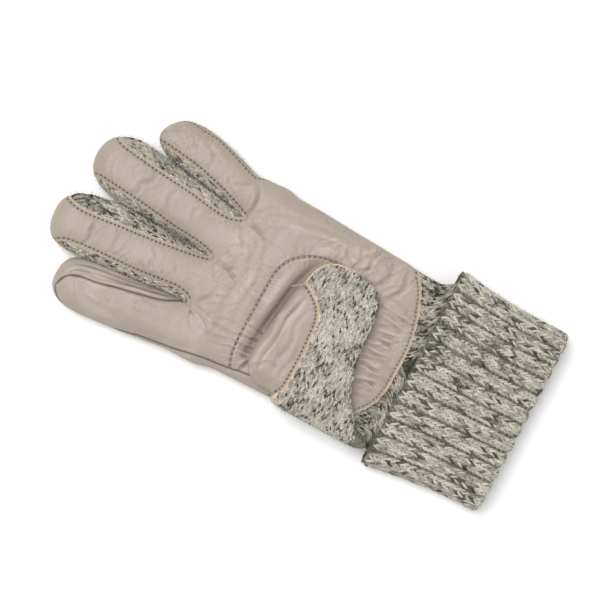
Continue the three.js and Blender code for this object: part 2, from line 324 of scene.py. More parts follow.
def relaxed(places, faces, rounds=4):
    """The places after moving each one towards the middle of its neighbours a few times."""
    edges = np.vstack([faces[:, [0, 1]], faces[:, [1, 2]], faces[:, [2, 0]]])
    edges = np.unique(np.sort(edges, axis=1), axis=0)
    near = np.bincount(edges.ravel(), minlength=len(places))[:, None]
    for turn in range(rounds):
        total = np.zeros_like(places)
        for axis in range(3):
            total[:, axis] = np.bincount(edges[:, 0], places[edges[:, 1], axis], len(places))
            total[:, axis] += np.bincount(edges[:, 1], places[edges[:, 0], axis], len(places))
        share = 0.6 if turn % 2 == 0 else -0.5
        places = places + share * (total / np.maximum(near, 1) - places)
    return places


def cut(sheet, value):
    """The two parts of a sheet, where value is above and below zero; a sheet is {"at", "faces"}."""
    value = np.where(np.abs(value) < 1e-5, 1e-5, value)
    faces = sheet["faces"]
    over = value[faces] > 0
    count = over.sum(axis=1)
    mixed, lone_over = faces[(count == 1) | (count == 2)], (count == 1)[(count == 1) | (count == 2)]
    lone = np.where(lone_over[:, None], value[mixed] > 0, value[mixed] < 0).argmax(axis=1)
    row = np.arange(len(mixed))
    a, b, c = (mixed[row, (lone + k) % 3] for k in range(3))
    pairs = np.sort(np.vstack([np.column_stack([a, b]), np.column_stack([a, c])]), axis=1)
    edges, place = np.unique(pairs, axis=0, return_inverse=True)
    place = place.reshape(-1) + len(value)
    share = (value[edges[:, 0]] / (value[edges[:, 0]] - value[edges[:, 1]]))[:, None]
    at = np.vstack([sheet["at"], sheet["at"][edges[:, 0]] * (1 - share) + sheet["at"][edges[:, 1]] * share])
    ab, ac = place[: len(mixed)], place[len(mixed) :]
    alone = np.column_stack([a, ab, ac])
    rest = np.vstack([np.column_stack([ab, b, c]), np.column_stack([ab, c, ac])])
    twice = np.concatenate([lone_over, lone_over])
    parts = []
    for whole, single, double in ((count == 3, lone_over, ~twice), (count == 0, ~lone_over, twice)):
        chosen = np.vstack([faces[whole], alone[single], rest[double]])
        used, renumbered = np.unique(chosen, return_inverse=True)
        parts.append({"at": at[used], "faces": renumbered.reshape(-1, 3)})
    return parts


def thickened(places, faces, thickness):
    """A closed wall: the sheet, a copy of it moved inward, and a rim between their borders."""
    inner = places - thickness * normals_of(places, faces)
    edges = np.vstack([faces[:, [0, 1]], faces[:, [1, 2]], faces[:, [2, 0]]])
    keys = np.sort(edges, axis=1)
    _, first, count = np.unique(keys, axis=0, return_index=True, return_counts=True)
    border = edges[first[count == 1]]
    used, local = np.unique(border, return_inverse=True)
    local = local.reshape(-1, 2)
    start = 2 * len(places)
    outer_rim, inner_rim = local + start, local + start + len(used)
    rim = np.vstack([
        np.column_stack([outer_rim[:, 1], outer_rim[:, 0], inner_rim[:, 0]]),
        np.column_stack([outer_rim[:, 1], inner_rim[:, 0], inner_rim[:, 1]]),
    ])
    source = np.concatenate([np.arange(len(places)), np.arange(len(places)), used, used])
    both = np.vstack([places, inner, places[used], inner[used]])
    return both, np.vstack([faces, faces[:, ::-1] + len(places), rim]), source


def shown(name, places, faces, material, body, values=None, replaces=(), bend=None):
    """Puts a mesh in the scene and ties it to its body; a mesh given a bend is tied to no body, its
    transform baked in.
    """
    mesh = bpy.data.meshes.new(name)
    places = np.column_stack([places[:, :2], np.maximum(places[:, 2], LOWEST)])
    mesh.from_pydata(((places - ORIGIN) / 1000).tolist(), [], faces.tolist())
    for key, value in (values or {}).items():
        mesh.attributes.new(key, "FLOAT", "POINT").data.foreach_set("value", np.asarray(value, np.float32))
    mesh.polygons.foreach_set("use_smooth", np.ones(len(faces), bool))
    mesh.materials.append(material)
    mesh.update()
    thing = bpy.data.objects.new(name, mesh)
    bpy.context.scene.collection.objects.link(thing)
    if bend:
        start, end = ((np.array(point) - ORIGIN) / 1000 for point in bend)
        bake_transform(thing)
    else:
        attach(thing, body)
    if replaces:
        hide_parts(*replaces)
    return thing


low_corner, high_corner = (np.array(corner) * 1000 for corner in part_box("rib_cuff"))
ORIGIN = np.array([CUFF_MIDDLE_X - (low_corner[0] + high_corner[0]) / 2, -low_corner[1], 0.0])

# ---- the sewn surfaces ---------------------------------------------------------------------------

# The two corners of the space that each surface is looked for in.
HAND_BOX = (-62, 58, -1.5 - 3 * STEP), (66, 278, 20.5)
THUMB_BOX = (-53, 66, 1), (34, 150, 34)
FINGER_BLEND = 5.0  # how softly a finger runs into the hand
THUMB_BLEND = 7.0
OVERLAP = 9  # how far a finger's surface and the hand's run past the split before they are cut
WRIST_END_Y = 62  # the knit ends here, inside the cuff


def grid(low, high):
    axes = [np.arange(a, b, STEP) for a, b in zip(low, high)]
    return axes, np.meshgrid(axes[0], axes[1], indexing="ij")


def pillow(plan, heights, shape, half, middle):
    """Values on a grid, negative inside a flat pillow over a plan outline, with a rounded edge."""
    x, y = plan
    depth = depth_inside(x, y, curve(shape["outline"], 4, closed=True))
    edge = np.maximum(1 - depth / shape["round"], 0)[:, :, None]
    rise = (heights[None, None, :] - middle[:, :, None]) / half[:, :, None]
    return (np.sqrt(edge**2 + rise**2) - 1) * half[:, :, None]


def hand_height(y):
    """Half the hand's thickness: flat at the wrist, where the cuff holds it."""
    grown = smoothstep(y, *HAND["wrist"])
    return HAND["wrist_half_height"] + grown * (HAND["half_height"] - HAND["wrist_half_height"])


def hand_middle(y):
    return HAND["half_height"] + 0.9 * (1 - smoothstep(y, *HAND["wrist"]))


def sewn_surfaces():
    """The hand and each finger as one surface each; a finger's runs a little way into the hand."""
    (xs, ys, zs), plan = grid(*HAND_BOX)
    y = plan[1]
    hand = pillow(plan, zs, HAND, hand_height(y) + 0.25 * cloud(*plan, 22), hand_middle(y))
    made = {}
    union = hand
    for name, finger in FINGERS.items():
        half = finger["half_height"] + 0.35 * cloud(*plan, 15, 1)
        alone = pillow(plan, zs, finger, half, half)
        joined = soft_union(alone, hand, FINGER_BLEND)
        union = np.minimum(union, joined)
        start = np.searchsorted(ys, SPLIT_Y - OVERLAP)
        made[name] = surface(joined[:, start:], np.array([xs[0], ys[start], zs[0]]), STEP)
    end = np.searchsorted(ys, SPLIT_Y + OVERLAP)
    start = np.searchsorted(ys, WRIST_END_Y)
    made["hand"] = surface(union[:, start:end], np.array([xs[0], ys[start], zs[0]]), STEP)
    lowest = np.array([-np.inf, -np.inf, 0.0])
    return {name: (np.maximum(relaxed(*mesh), lowest), mesh[1]) for name, mesh in made.items()}


def thumb_surface():
    """The folded thumb, with a wall down the thumb-side edge where the knit wraps round from the back."""
    (xs, ys, zs), plan = grid(*THUMB_BOX)
    x, y = plan
    middle = np.full(x.shape, (THUMB["low"] + THUMB["high"]) / 2)
    half = np.full(x.shape, (THUMB["high"] - THUMB["low"]) / 2)
    puff = 0.5 * cloud(x, y, 18, 2) + 0.5 * cloud(x, y, 9, 3)
    slope = 3.4 * smoothstep(-x, 14, 44) * smoothstep(-y, -104, -80)
    field = pillow(plan, zs, THUMB, half + (puff - slope) / 2, middle + (puff - slope) / 2)
    sizes = (np.full(x.shape, THUMB_WALL[key]) for key in ("half_height", "middle_height"))
    wall = pillow(plan, zs, THUMB_WALL, *sizes)
    return surface(soft_union(field, wall, THUMB_BLEND), np.array([xs[0], ys[0], zs[0]]), STEP)


# ---- folds in the leather ------------------------------------------------------------------------


def crease(x, y, points, depth, width):
    """A fold along a smooth line: a valley with a soft swell on each side, fading at its ends."""
    line, _ = measured(curve(points, 5), 0.8)
    box_low, box_high = line.min(axis=0) - 5 * width, line.max(axis=0) + 5 * width
    near = (x > box_low[0]) & (x < box_high[0]) & (y > box_low[1]) & (y < box_high[1])
    raised = np.zeros_like(x)
    away = np.hypot(x[near][:, None] - line[:, 0], y[near][:, None] - line[:, 1])
    nearest = away.argmin(axis=1)
    off = away.min(axis=1) / width
    fade = np.sin(np.pi * np.clip((nearest + 1) / (len(line) + 1), 0, 1)) ** 0.6
    raised[near] = depth * fade * (0.3 * np.exp(-((off - 2.2) ** 2) / 1.4) - np.exp(-(off**2)))
    return raised


def fan(centre, angles, reach, depth, width, bend=0.12):
    """Creases that spread out from a point at these angles in degrees."""
    for i, angle in enumerate(angles):
        turn = math.radians(angle)
        way, side = np.array([math.cos(turn), math.sin(turn)]), np.array([-math.sin(turn), math.cos(turn)])
        length = reach * (0.75 + 0.5 * ((i * 0.618) % 1))
        curl = bend * length * (1 if i % 2 else -1)
        middle = np.array(centre) + way * length * 0.55 + side * curl
        yield ([np.array(centre) + way * 2.0, middle, np.array(centre) + way * length], depth, width)


def scattered(across, along, count, angle, spread, lengths, depths, widths):
    """Random short folds in a box of the plan, about one direction in degrees."""
    for _ in range(count):
        middle = np.array([random.uniform(*across), random.uniform(*along)])
        turn = math.radians(random.normal(angle, spread))
        way, side = np.array([math.cos(turn), math.sin(turn)]), np.array([-math.sin(turn), math.cos(turn)])
        half = random.uniform(*lengths) / 2
        curl = random.normal(0, 0.14, 2) * half
        points = [middle - way * half, middle + side * curl[0], middle + way * half + side * curl[1]]
        yield (points, random.uniform(*depths), random.uniform(*widths))


def heel_folds():
    """Folds across the heel of the palm, from under the thumb to the leather's hem."""
    for x in np.arange(-26, 20, 2.7):
        x = x + random.normal(0, 0.7)
        top = 93 + 0.14 * x + random.normal(0, 1.5)
        low = 75.5 + random.uniform(0, 5)
        lean = random.normal(1.5, 1.3)
        middle = (x + 0.6 * lean + random.normal(0, 0.6), (top + low) / 2)
        yield ([(x, top), middle, (x + lean, low)], random.uniform(0.5, 1.25), random.uniform(0.55, 0.85))


# Each crease: its line, its depth and its width.
CREASES = [
    *fan((-24.5, 186), (-156, -122, -84, -58, -30), 19, 0.4, 1.0),
    *fan((2.3, 186.5), (-148, -112, -88, -46), 18, 0.36, 1.1),
    *fan((29, 180.5), (-160, -118, -96, -52), 19, 0.4, 1.0),
    ([(-31.2, 156), (-31.6, 150), (-30.6, 144)], 1.2, 0.65),
    ([(-26.6, 154.5), (-26.4, 149), (-25.3, 143)], 0.9, 0.6),
    ([(-33.6, 153), (-33.2, 148), (-32, 144)], 1.1, 0.65),
    ([(-43.4, 146.6), (-39, 145), (-34.6, 142.4)], 1.6, 0.8),
    ([(-36.5, 152), (-36, 147), (-35.4, 143)], 0.8, 0.6),
    ([(-20, 154), (-20.6, 149), (-21, 144)], 0.6, 0.6),
    ([(-26, 175), (-23.4, 164), (-22.5, 155)], 0.4, 0.8),
    ([(-28, 171), (-28.7, 161), (-27.4, 155)], 0.5, 0.7),
    ([(-33.6, 175), (-33.9, 165.5), (-31.2, 155)], 0.5, 0.8),
    ([(-38, 168), (-36.6, 160), (-34, 154)], 0.4, 0.7),
    ([(27.4, 179), (23.3, 163.5), (21.9, 151.4)], 0.34, 0.8),
    ([(1.6, 180.7), (-2.1, 169.9), (-5.3, 161.6)], 0.3, 0.8),
    ([(21.4, 97), (20.6, 86), (19.4, 74)], 0.95, 0.65),
    ([(25, 99), (27.4, 90), (24, 79)], 0.6, 0.7),
    *fan((31, 118), (-52, -26, 4, 34), 14, 0.4, 0.9),
    *heel_folds(),
    ([(-43, 146), (-32, 147.4), (-14, 145), (4, 142.5), (15, 140), (24, 136), (31, 128)], 1.7, 2.8),
    ([(30, 182), (37, 180.6), (43, 181.4), (49.5, 185)], 0.9, 1.1),
    ([(41, 196), (44.5, 190.5), (48, 187), (51.5, 187)], 0.6, 0.9),
    ([(42, 214), (46, 210.5), (51, 212), (55, 218)], 0.45, 1.1),
    ([(45, 227), (50, 223.5), (56, 226)], 0.35, 1.0),
    ([(-1.5, 214), (-7, 217), (-12, 213), (-20, 214)], 0.35, 1.1),
    ([(-24, 233), (-19, 236), (-11, 235.5), (-6, 238)], 0.4, 1.2),
    ([(-25.5, 252), (-20, 249.5), (-13, 250.5), (-7.5, 249)], 0.65, 1.1),
    ([(7, 223), (13, 220), (20, 221.5), (27, 218)], 0.4, 1.2),
    ([(9.6, 243), (15, 238), (19, 238.5), (24, 234), (31, 236)], 0.6, 1.2),
    ([(11, 252), (17, 256.5), (24, 257.5), (31, 253)], 0.4, 1.1),
    ([(12, 203), (18, 206.5), (26, 203)], 0.3, 1.2),
    ([(-37, 226), (-36.5, 236), (-39, 245), (-45, 249.5)], 0.5, 1.0),
    ([(-26.4, 194), (-29.4, 208), (-31.8, 222), (-34.2, 236), (-37, 247)], 1.4, 0.8),
    ([(-26.8, 203), (-29.2, 216), (-31, 229), (-32.6, 241), (-35, 250)], 1.1, 0.8),
    ([(-32, 217), (-34.9, 230), (-37.2, 243)], 0.8, 0.7),
    ([(-34.6, 240), (-37.6, 248), (-43, 252.6)], 0.7, 0.7),
    ([(-48, 240), (-49, 228), (-47.5, 214)], 0.35, 1.4),
    ([(-40, 172), (-28, 168), (-14, 170), (4, 167), (22, 170)], 0.35, 1.6),
    ([(-30, 160), (-14, 161.6), (4, 160), (20, 163), (36, 160)], 0.3, 1.5),
    ([(36, 170), (40, 158), (43, 142), (44, 126)], 0.5, 1.6),
    ([(33, 150), (37, 138), (38.6, 124), (38, 110)], 0.45, 1.5),
    ([(26, 106), (33, 101), (40, 99.5), (46, 101)], 0.8, 1.4),
    ([(24, 96), (31, 91.5), (38, 90), (44, 91.4)], 0.6, 1.2),
    ([(30, 128), (37, 124), (46, 124)], 0.45, 1.3),
    *scattered((-22, 20), (75, 92), 20, 96, 16, (7, 15), (0.25, 0.6), (0.6, 0.9)),
    *scattered((24, 46), (84, 140), 30, -34, 16, (6, 16), (0.15, 0.5), (0.55, 0.9)),
    *scattered((-42, 44), (158, 180), 22, 84, 30, (6, 16), (0.08, 0.22), (0.6, 1.1)),
    *scattered((-40, -16), (122, 152), 12, 60, 50, (5, 11), (0.2, 0.5), (0.6, 1.0)),
    *scattered((-54, -33), (196, 248), 7, 85, 20, (8, 18), (0.08, 0.25), (0.7, 1.2)),
    *scattered((-22, -6), (196, 262), 7, 10, 30, (5, 13), (0.1, 0.3), (0.6, 1.0)),
    *scattered((8, 30), (196, 256), 7, 10, 30, (5, 13), (0.1, 0.3), (0.6, 1.0)),
    *scattered((38, 56), (190, 236), 9, 20, 40, (4, 11), (0.15, 0.4), (0.6, 1.0)),
]
THUMB_CREASES = [
    ([(-41, 138), (-32, 139.6), (-20, 137.6), (-6, 137.4), (8, 133.6)], 1.0, 0.9),
    ([(-40, 129), (-30, 131.4), (-18, 129), (-8, 131), (2, 128.6)], 0.5, 1.2),
    ([(-42, 124.5), (-34, 126.5), (-24, 124), (-14, 125.4)], 0.45, 1.1),
    ([(-38, 141), (-33, 135.6), (-32, 128.8)], 0.55, 0.9),
    ([(-12, 139.8), (-2, 135.8), (9, 134.8)], 0.4, 1.0),
]
ARCH_SHOWN = THUMB_ARCH[:11]  # the part of the arched seam that the thumb doesn't cover
SEAM_GROOVES = [(ARCH_SHOWN, 0.45, 0.6), (INDEX_FRONT[:9], 0.8, 0.65), (INDEX_SIDE[2:], 0.5, 0.6)]


def leather_relief(x, y):
    """How far the leather stands above its plain shape: folds, sewn grooves and small unevenness."""
    raised = 0.28 * cloud(x, y, 10, 4)
    for points, depth, width in CREASES:
        raised += crease(x, y, points, depth, width)
    for points, depth, width in SEAM_GROOVES:
        line, _ = measured(curve(points), 0.8)
        off = nearest_on(line, x, y)[0] / width
        raised -= depth * np.exp(-(off**2)) - 0.35 * depth * np.exp(-((off - 2.6) ** 2) / 1.6)
    return raised


def nearest_on(line, x, y):
    """Each point's distance to the nearest of the line's points, and that point's number."""
    tree = KDTree(len(line))
    for i, point in enumerate(line):
        tree.insert((point[0], point[1], 0), i)
    tree.balance()
    found = [tree.find((a, b, 0)) for a, b in zip(x.tolist(), y.tolist())]
    return np.array([f[2] for f in found], float), np.array([f[1] for f in found], int)


# ---- where each panel is cut ---------------------------------------------------------------------


def smooth_region(*parts):
    """A closed outline whose parts are each smooth, with corners where they meet."""
    return np.vstack([curve(part) if len(part) > 2 else np.array(part, float) for part in parts])


REGIONS = {
    "left_wedge": smooth_region(MIDDLE_LEFT, [(-38, 267), (-30, 188)]),
    "middle_wedge": smooth_region(MIDDLE_RIGHT, [(0, 279), (9, 272)], RING_LEFT[::-1]),
    "right_wedge": smooth_region(RING_RIGHT, [(44, 268), (46, 250)], LITTLE_LEFT[::-1]),
    "index_inner": smooth_region(INDEX_FRONT, [(-60, 262), (-20, 262)]),
    "side_strip": smooth_region(INDEX_SIDE, [(-41, 100), (-70, 100)]),
    "gusset": smooth_region(THUMB_ARCH, [(-60, 60), (-60, 151)]),
    "palm": smooth_region(WRIST_HEM, [(-70, 300), (80, 300)]),
    "thumb_knit": smooth_region(THUMB_SEAM, [(-60, 60), (60, 60), (60, 142)]),
}


def within(name, at):
    return depth_inside(at[:, 0], at[:, 1], REGIONS[name])


CUT_HEIGHTS = 4.2, 5.2  # how high above the floor the leather ends on the thumb's side and the other
OUTER_CUT_RISE = 3.6  # how much higher it ends along the little finger


def leather_depth(at, body):
    """Positive on leather, negative on knit, in millimetres from the cut."""
    x, y, z = at[:, 0], at[:, 1], at[:, 2]
    lowest = np.where(x < 0, *CUT_HEIGHTS)
    if body == "little":
        lowest = lowest + OUTER_CUT_RISE * smoothstep(x - 0.35 * (y - 190), 40, 50)
    if body == "hand":
        lowest = lowest + OUTER_CUT_RISE * smoothstep(x, 40, 50) * smoothstep(y, 172, 186)
    depth = z - lowest
    depth = np.minimum(depth, within("palm", at))
    if body == "hand":
        depth = np.minimum(depth, np.maximum(-within("left_wedge", at), MIDDLE_LEFT[0][0] - x))
    if body == "middle":
        depth = np.minimum(depth, -within("left_wedge", at))
    if body in ("hand", "middle", "ring"):
        depth = np.minimum(depth, -within("middle_wedge", at))
    if body in ("hand", "ring", "little"):
        depth = np.minimum(depth, -within("right_wedge", at))
    return depth


def thumb_leather_depth(at):
    """The same on the thumb, whose knitted back faces up and wraps down the hand's edge."""
    x, y, z = at[:, 0], at[:, 1], at[:, 2]
    lowest = 22 + 3.4 * smoothstep(y, 104, 118) - 34 * smoothstep(-x, 36, 46)
    return np.maximum(-within("thumb_knit", at), lowest - z)


SEAM_LINES = [MIDDLE_LEFT, MIDDLE_RIGHT, RING_LEFT, RING_RIGHT, LITTLE_LEFT, WRIST_HEM, THUMB_SEAM]


def seam_places(lines, x, y, reach=15.0):
    """Each point's distance to the nearest of these lines and how far along it that is."""
    best, along = np.full(len(x), 99.0), np.zeros(len(x))
    for points in lines:
        line, at = measured(curve(points), 0.25)
        low, high = line.min(axis=0) - reach, line.max(axis=0) + reach
        near = np.flatnonzero((x > low[0]) & (x < high[0]) & (y > low[1]) & (y < high[1]))
        away, number = nearest_on(line, x[near], y[near])
        closer = away < best[near]
        best[near[closer]] = away[closer]
        along[near[closer]] = at[number[closer]]
    return best, along


def leather_piece(name, sheet, body, bend, relief):
    """One leather panel: raised off the knit, rolled down at its cut edges, folded and thickened."""
    at, normal, edge = sheet["at"][:, :3], sheet["at"][:, 3:6], sheet["at"][:, 6]
    x, y = at[:, 0], at[:, 1]
    facing = smoothstep(normal[:, 2], -0.2, 0.5)
    fold = relief(x, y) * facing * smoothstep(edge, 0.2, 2.4)
    away, along = seam_places(SEAM_LINES, x, y)
    along = np.where(away < edge + 1.5, along, y)
    groove = 0.32 * np.exp(-(((edge - STITCH_IN) / 0.55) ** 2))
    pucker = 0.13 * np.cos(2 * np.pi * along / STITCH) * np.exp(-(((edge - STITCH_IN) / 1.5) ** 2))
    height = 0.12 + RAISE * smoothstep(edge / EDGE_ROLL) + fold - groove + pucker
    places, faces, source = thickened(at + normal * height[:, None], sheet["faces"], LEATHER)
    seam, seam_along = seam_places([ARCH_SHOWN] if body != "thumb" else [], x, y)
    panel_join = seam_places([INDEX_FRONT, INDEX_SIDE] if body != "thumb" else [], x, y)[0]
    # fold, the relief height, also drives the painted shade in fold valleys and the painted highlight on
    # fold tops
    values = {"edge": edge, "along": along, "seam": seam, "seam_along": seam_along, "fold": fold}
    values["panel_join"] = panel_join
    values = {key: value[source] for key, value in values.items()}
    shown(name + "_sewn", places, faces, LEATHER_LOOK, body, values, (name,), bend)


# ---- yarn ----------------------------------------------------------------------------------------

RUST = -2.0  # the tone that marks a rust-coloured strand

# Half of a knitted stitch: across, along and up, for the points of its centre line.
LEG = np.array([
    (0.04, -0.75, -0.8), (0.14, -0.25, 0.2), (0.3, 0.25, 0.38), (0.43, 0.7, 0.15), (0.4, 1.2, -0.8),
])
YARN_TAPER = np.array([0.6, 0.92, 1.0, 0.92, 0.6])
SIDES = 5  # sides of a strand


def tubes(paths, normals, radius):
    """A thin round strand along each path; paths and normals are strand, point, xyz."""
    ahead = np.gradient(paths, axis=1)
    ahead /= np.linalg.norm(ahead, axis=2, keepdims=True) + 1e-9
    side = np.cross(ahead, normals)
    side /= np.linalg.norm(side, axis=2, keepdims=True) + 1e-9
    up = np.cross(side, ahead)
    turn = 2 * np.pi * np.arange(SIDES) / SIDES
    ring = np.cos(turn)[:, None] * side[:, :, None] + np.sin(turn)[:, None] * up[:, :, None]
    places = paths[:, :, None] + ring * radius[:, :, None, None]
    count, rings = paths.shape[:2]
    k, j, i = np.meshgrid(np.arange(count), np.arange(rings - 1), np.arange(SIDES), indexing="ij")

    def number(j, i):
        return ((k * rings + j) * SIDES + i % SIDES).ravel()

    a, b, c, d = number(j, i), number(j, i + 1), number(j + 1, i + 1), number(j + 1, i)
    faces = np.vstack([np.column_stack([a, b, c]), np.column_stack([a, c, d])])
    return places.reshape(-1, 3), faces, np.repeat(np.arange(count), rings * SIDES)


def sample(fabric, row, column):
    """Places and normals between the points of a fabric's grid, and whether there is fabric there."""
    rows, columns = fabric["at"].shape[:2]
    row, column = np.clip(row, 0, rows - 1.001), np.clip(column, 0, columns - 1.001)
    i, j = row.astype(int), column.astype(int)
    s, t = (row - i)[..., None], (column - j)[..., None]
    mixed = []
    for key in ("at", "normal"):
        grid_of = fabric[key]
        low = grid_of[i, j] * (1 - t) + grid_of[i, j + 1] * t
        high = grid_of[i + 1, j] * (1 - t) + grid_of[i + 1, j + 1] * t
        mixed.append(low * (1 - s) + high * s)
    there = fabric["there"]
    return mixed[0], mixed[1], there[i, j] & there[i + 1, j] & there[i, j + 1] & there[i + 1, j + 1]


def yarn(fabric, shape_of, size=1.0, keep=None):
    """The stitches of a fabric whose grid has two columns to a wale; shape_of says what each wale is."""
    rows, columns = fabric["at"].shape[:2]
    paths, normals = [], []
    for column in range(1, columns - 1, 2):
        shape = shape_of(column // 2)
        row = np.arange(1, rows - 2, dtype=float)
        for line in shape:
            across = column + 2 * line[None, :, 0] + random.normal(0, 0.05, (len(row), 1))
            along = row[:, None] + line[None, :, 1] + random.normal(0, 0.06, (len(row), 1))
            at, normal, there = sample(fabric, along, across)
            lift = (line[None, :, 2] + random.normal(0, 0.1, (len(row), 1))) * YARN * size
            at = at + normal * lift[..., None]
            good = there.all(axis=1)
            if keep is not None:
                good &= keep(at[:, 2])
            paths.append(at[good])
            normals.append(normal[good])
    paths, normals = np.concatenate(paths), np.concatenate(normals)
    paths = paths + random.normal(0, 0.05, paths.shape)
    radius = YARN * size * YARN_TAPER * random.uniform(0.85, 1.12, (len(paths), 1))
    places, faces, strand = tubes(paths, normals, radius)
    middle = paths[:, 2]
    patch = cloud(middle[:, 0] + middle[:, 2], middle[:, 1] + middle[:, 2], 4.5, 12)
    dark = random.random(len(paths)) < 0.1 + 0.16 * smoothstep(patch, 0.0, 0.6)
    dark_tone = random.uniform(0.1, 0.45, len(paths))
    tone = np.where(dark, dark_tone, random.uniform(0.5, 0.95, len(paths)) - 0.12 * patch)
    tone[random.random(len(paths)) < 0.0025] = RUST
    return places, faces, tone[strand], paths, normals


def fuzz(paths, normals, count):
    """Loose fibres that stand off the yarn, as thin curved ribbons."""
    chosen = random.integers(0, len(paths), count)
    root = paths[chosen, 2] + random.normal(0, 0.4, (count, 3))
    normal = normals[chosen, 2]
    way = random.normal(0, 1, (count, 3)) + 0.35 * normal
    way -= normal * np.minimum((way * normal).sum(axis=1, keepdims=True), 0)
    way /= np.linalg.norm(way, axis=1, keepdims=True)
    bend = random.normal(0, 0.55, (count, 3))
    length = random.uniform(0.8, 2.4, (count, 1))
    share = np.array([0, 0.5, 1.0])
    curved = way[:, None] * share[:, None] + bend[:, None] * (share**2)[:, None]
    line = root[:, None] + length[:, :, None] * curved
    line = line + normal[:, None] * (0.25 + 0.2 * share[:, None])
    side = np.cross(way, normal)
    side /= np.linalg.norm(side, axis=1, keepdims=True) + 1e-9
    width = np.array([0.05, 0.045, 0.015])[:, None]
    places = np.stack([line - side[:, None] * width, line + side[:, None] * width], axis=2)
    k, j = np.meshgrid(np.arange(count), np.arange(2), indexing="ij")
    a = (k * 6 + j * 2).ravel()
    faces = np.vstack([np.column_stack([a, a + 1, a + 3]), np.column_stack([a, a + 3, a + 2])])
    tone = np.repeat(random.choice([0.25, 0.8, 1.0], count, p=[0.25, 0.35, 0.4]), 6)
    return places.reshape(-1, 3), faces, tone


def joined(*parts):
    """Several (places, faces, tone) meshes as one."""
    start = np.cumsum([0] + [len(part[0]) for part in parts[:-1]])
    return (
        np.vstack([part[0] for part in parts]),
        np.vstack([part[1] + s for part, s in zip(parts, start)]),
        np.concatenate([part[2] for part in parts]),
    )


def knit_piece(name, sheet, body, bend, stitches, loose):
    """One knitted panel: its backing, the yarn over it and its loose fibres."""
    at = sheet["at"][:, :3]
    raised = at + 0.2 * cloud(at[:, 0] + at[:, 2], at[:, 1], 6, 6)[:, None] * sheet["at"][:, 3:6]
    places, faces, source = thickened(raised, sheet["faces"], KNIT)
    # painted shade: the backing gets a darker wool tone than most of the yarn, as shade between the
    # stitches
    parts = [(places, faces, np.full(len(source), 0.36))]
    if len(stitches[3]):
        parts += [stitches[:3], fuzz(stitches[3], stitches[4], loose)]
    places, faces, tone = joined(*parts)
    # painted shade: the hand's knit is darker towards the wrist, where the cuff shades it
    if body == "hand":
        tone = tone - 0.22 * smoothstep(-places[:, 1], -92, -78)
    # painted shade: the knitted walls between the fingers are darker
    if "fourchette" in name:
        tone = tone - 0.1
    shown(name + "_knitted", places, faces, KNIT_LOOK, body, {"tone": tone}, (name,), bend)


def hits(tree, origins, ways, reach):
    """Where rays first leave a surface from inside, its outward normal there, and whether they do."""
    at, normal = np.zeros((len(origins), 3)), np.zeros((len(origins), 3))
    found = np.zeros(len(origins), bool)
    for i, (origin, way) in enumerate(zip(origins.tolist(), ways.tolist())):
        place, facing, _, away = tree.ray_cast(origin, way)
        if place is not None and away < reach:
            outward = 1 if facing.dot(Vector(way)) > 0 else -1
            at[i], normal[i], found[i] = place, facing * outward, True
    return at, normal, found


def section_rays(y, left, right, middle, radius):
    """Rays out to a flat rounded section, from its top centre round by the left, bottom and right."""
    centre, ends = (left + right) / 2, (left + radius, right - radius)
    if ends[0] > ends[1]:
        ends = (centre, centre)
    flat = np.arange(0, ends[1] - centre + 0.01, 0.9)
    turns = np.radians(np.arange(0, 181, 9))
    xs = np.concatenate([centre - flat, np.full(len(turns), ends[0]), centre - flat[::-1]])
    up, down = np.full(len(flat), np.pi / 2), np.full(len(flat), -np.pi / 2)
    angles = np.concatenate([up, np.pi / 2 + turns, down])
    xs = np.concatenate([xs, 2 * centre - xs[::-1]])
    angles = np.concatenate([angles, np.pi - angles[::-1]])
    origins = np.column_stack([xs, np.full(len(xs), y), np.full(len(xs), middle)])
    return origins, np.column_stack([np.cos(angles), 0 * angles, np.sin(angles)]), len(xs) // 2


def spread(at, normal, found, zero, spacing, count):
    """Points every spacing along a section, count of them each way from its point number zero."""
    there = np.flatnonzero(found)
    if len(there) < 4:
        return np.zeros((2 * count + 1, 3)), np.zeros((2 * count + 1, 3)), np.zeros(2 * count + 1, bool)
    at, normal, zero = at[there], normal[there], int(np.searchsorted(there, zero).clip(0, len(there) - 1))
    along = np.concatenate([[0], np.cumsum(np.linalg.norm(np.diff(at, axis=0), axis=1))])
    along -= along[zero]
    wanted = spacing * np.arange(-count, count + 1)

    def pick(values):
        return np.column_stack([np.interp(wanted, along, values[:, k]) for k in range(3)])

    unit = pick(normal)
    unit /= np.linalg.norm(unit, axis=1, keepdims=True) + 1e-9
    return pick(at), unit, (wanted >= along[0]) & (wanted <= along[-1])


def tube_fabric(tree, rows, edges_at, middle, radius, count, reach):
    """A fabric's grid round a tube, one row of points for each y in rows."""
    found = []
    for y in rows:
        left, right = edges_at(y)
        origins, ways, zero = section_rays(y, left, right, middle, radius)
        found.append(spread(*hits(tree, origins, ways, reach), zero, WALE / 2, count))
    return {key: np.array([row[i] for row in found]) for i, key in enumerate(("at", "normal", "there"))}


def knit_wale(_):
    return [LEG, LEG * (-1, 1, 1)]


# ---- materials -----------------------------------------------------------------------------------


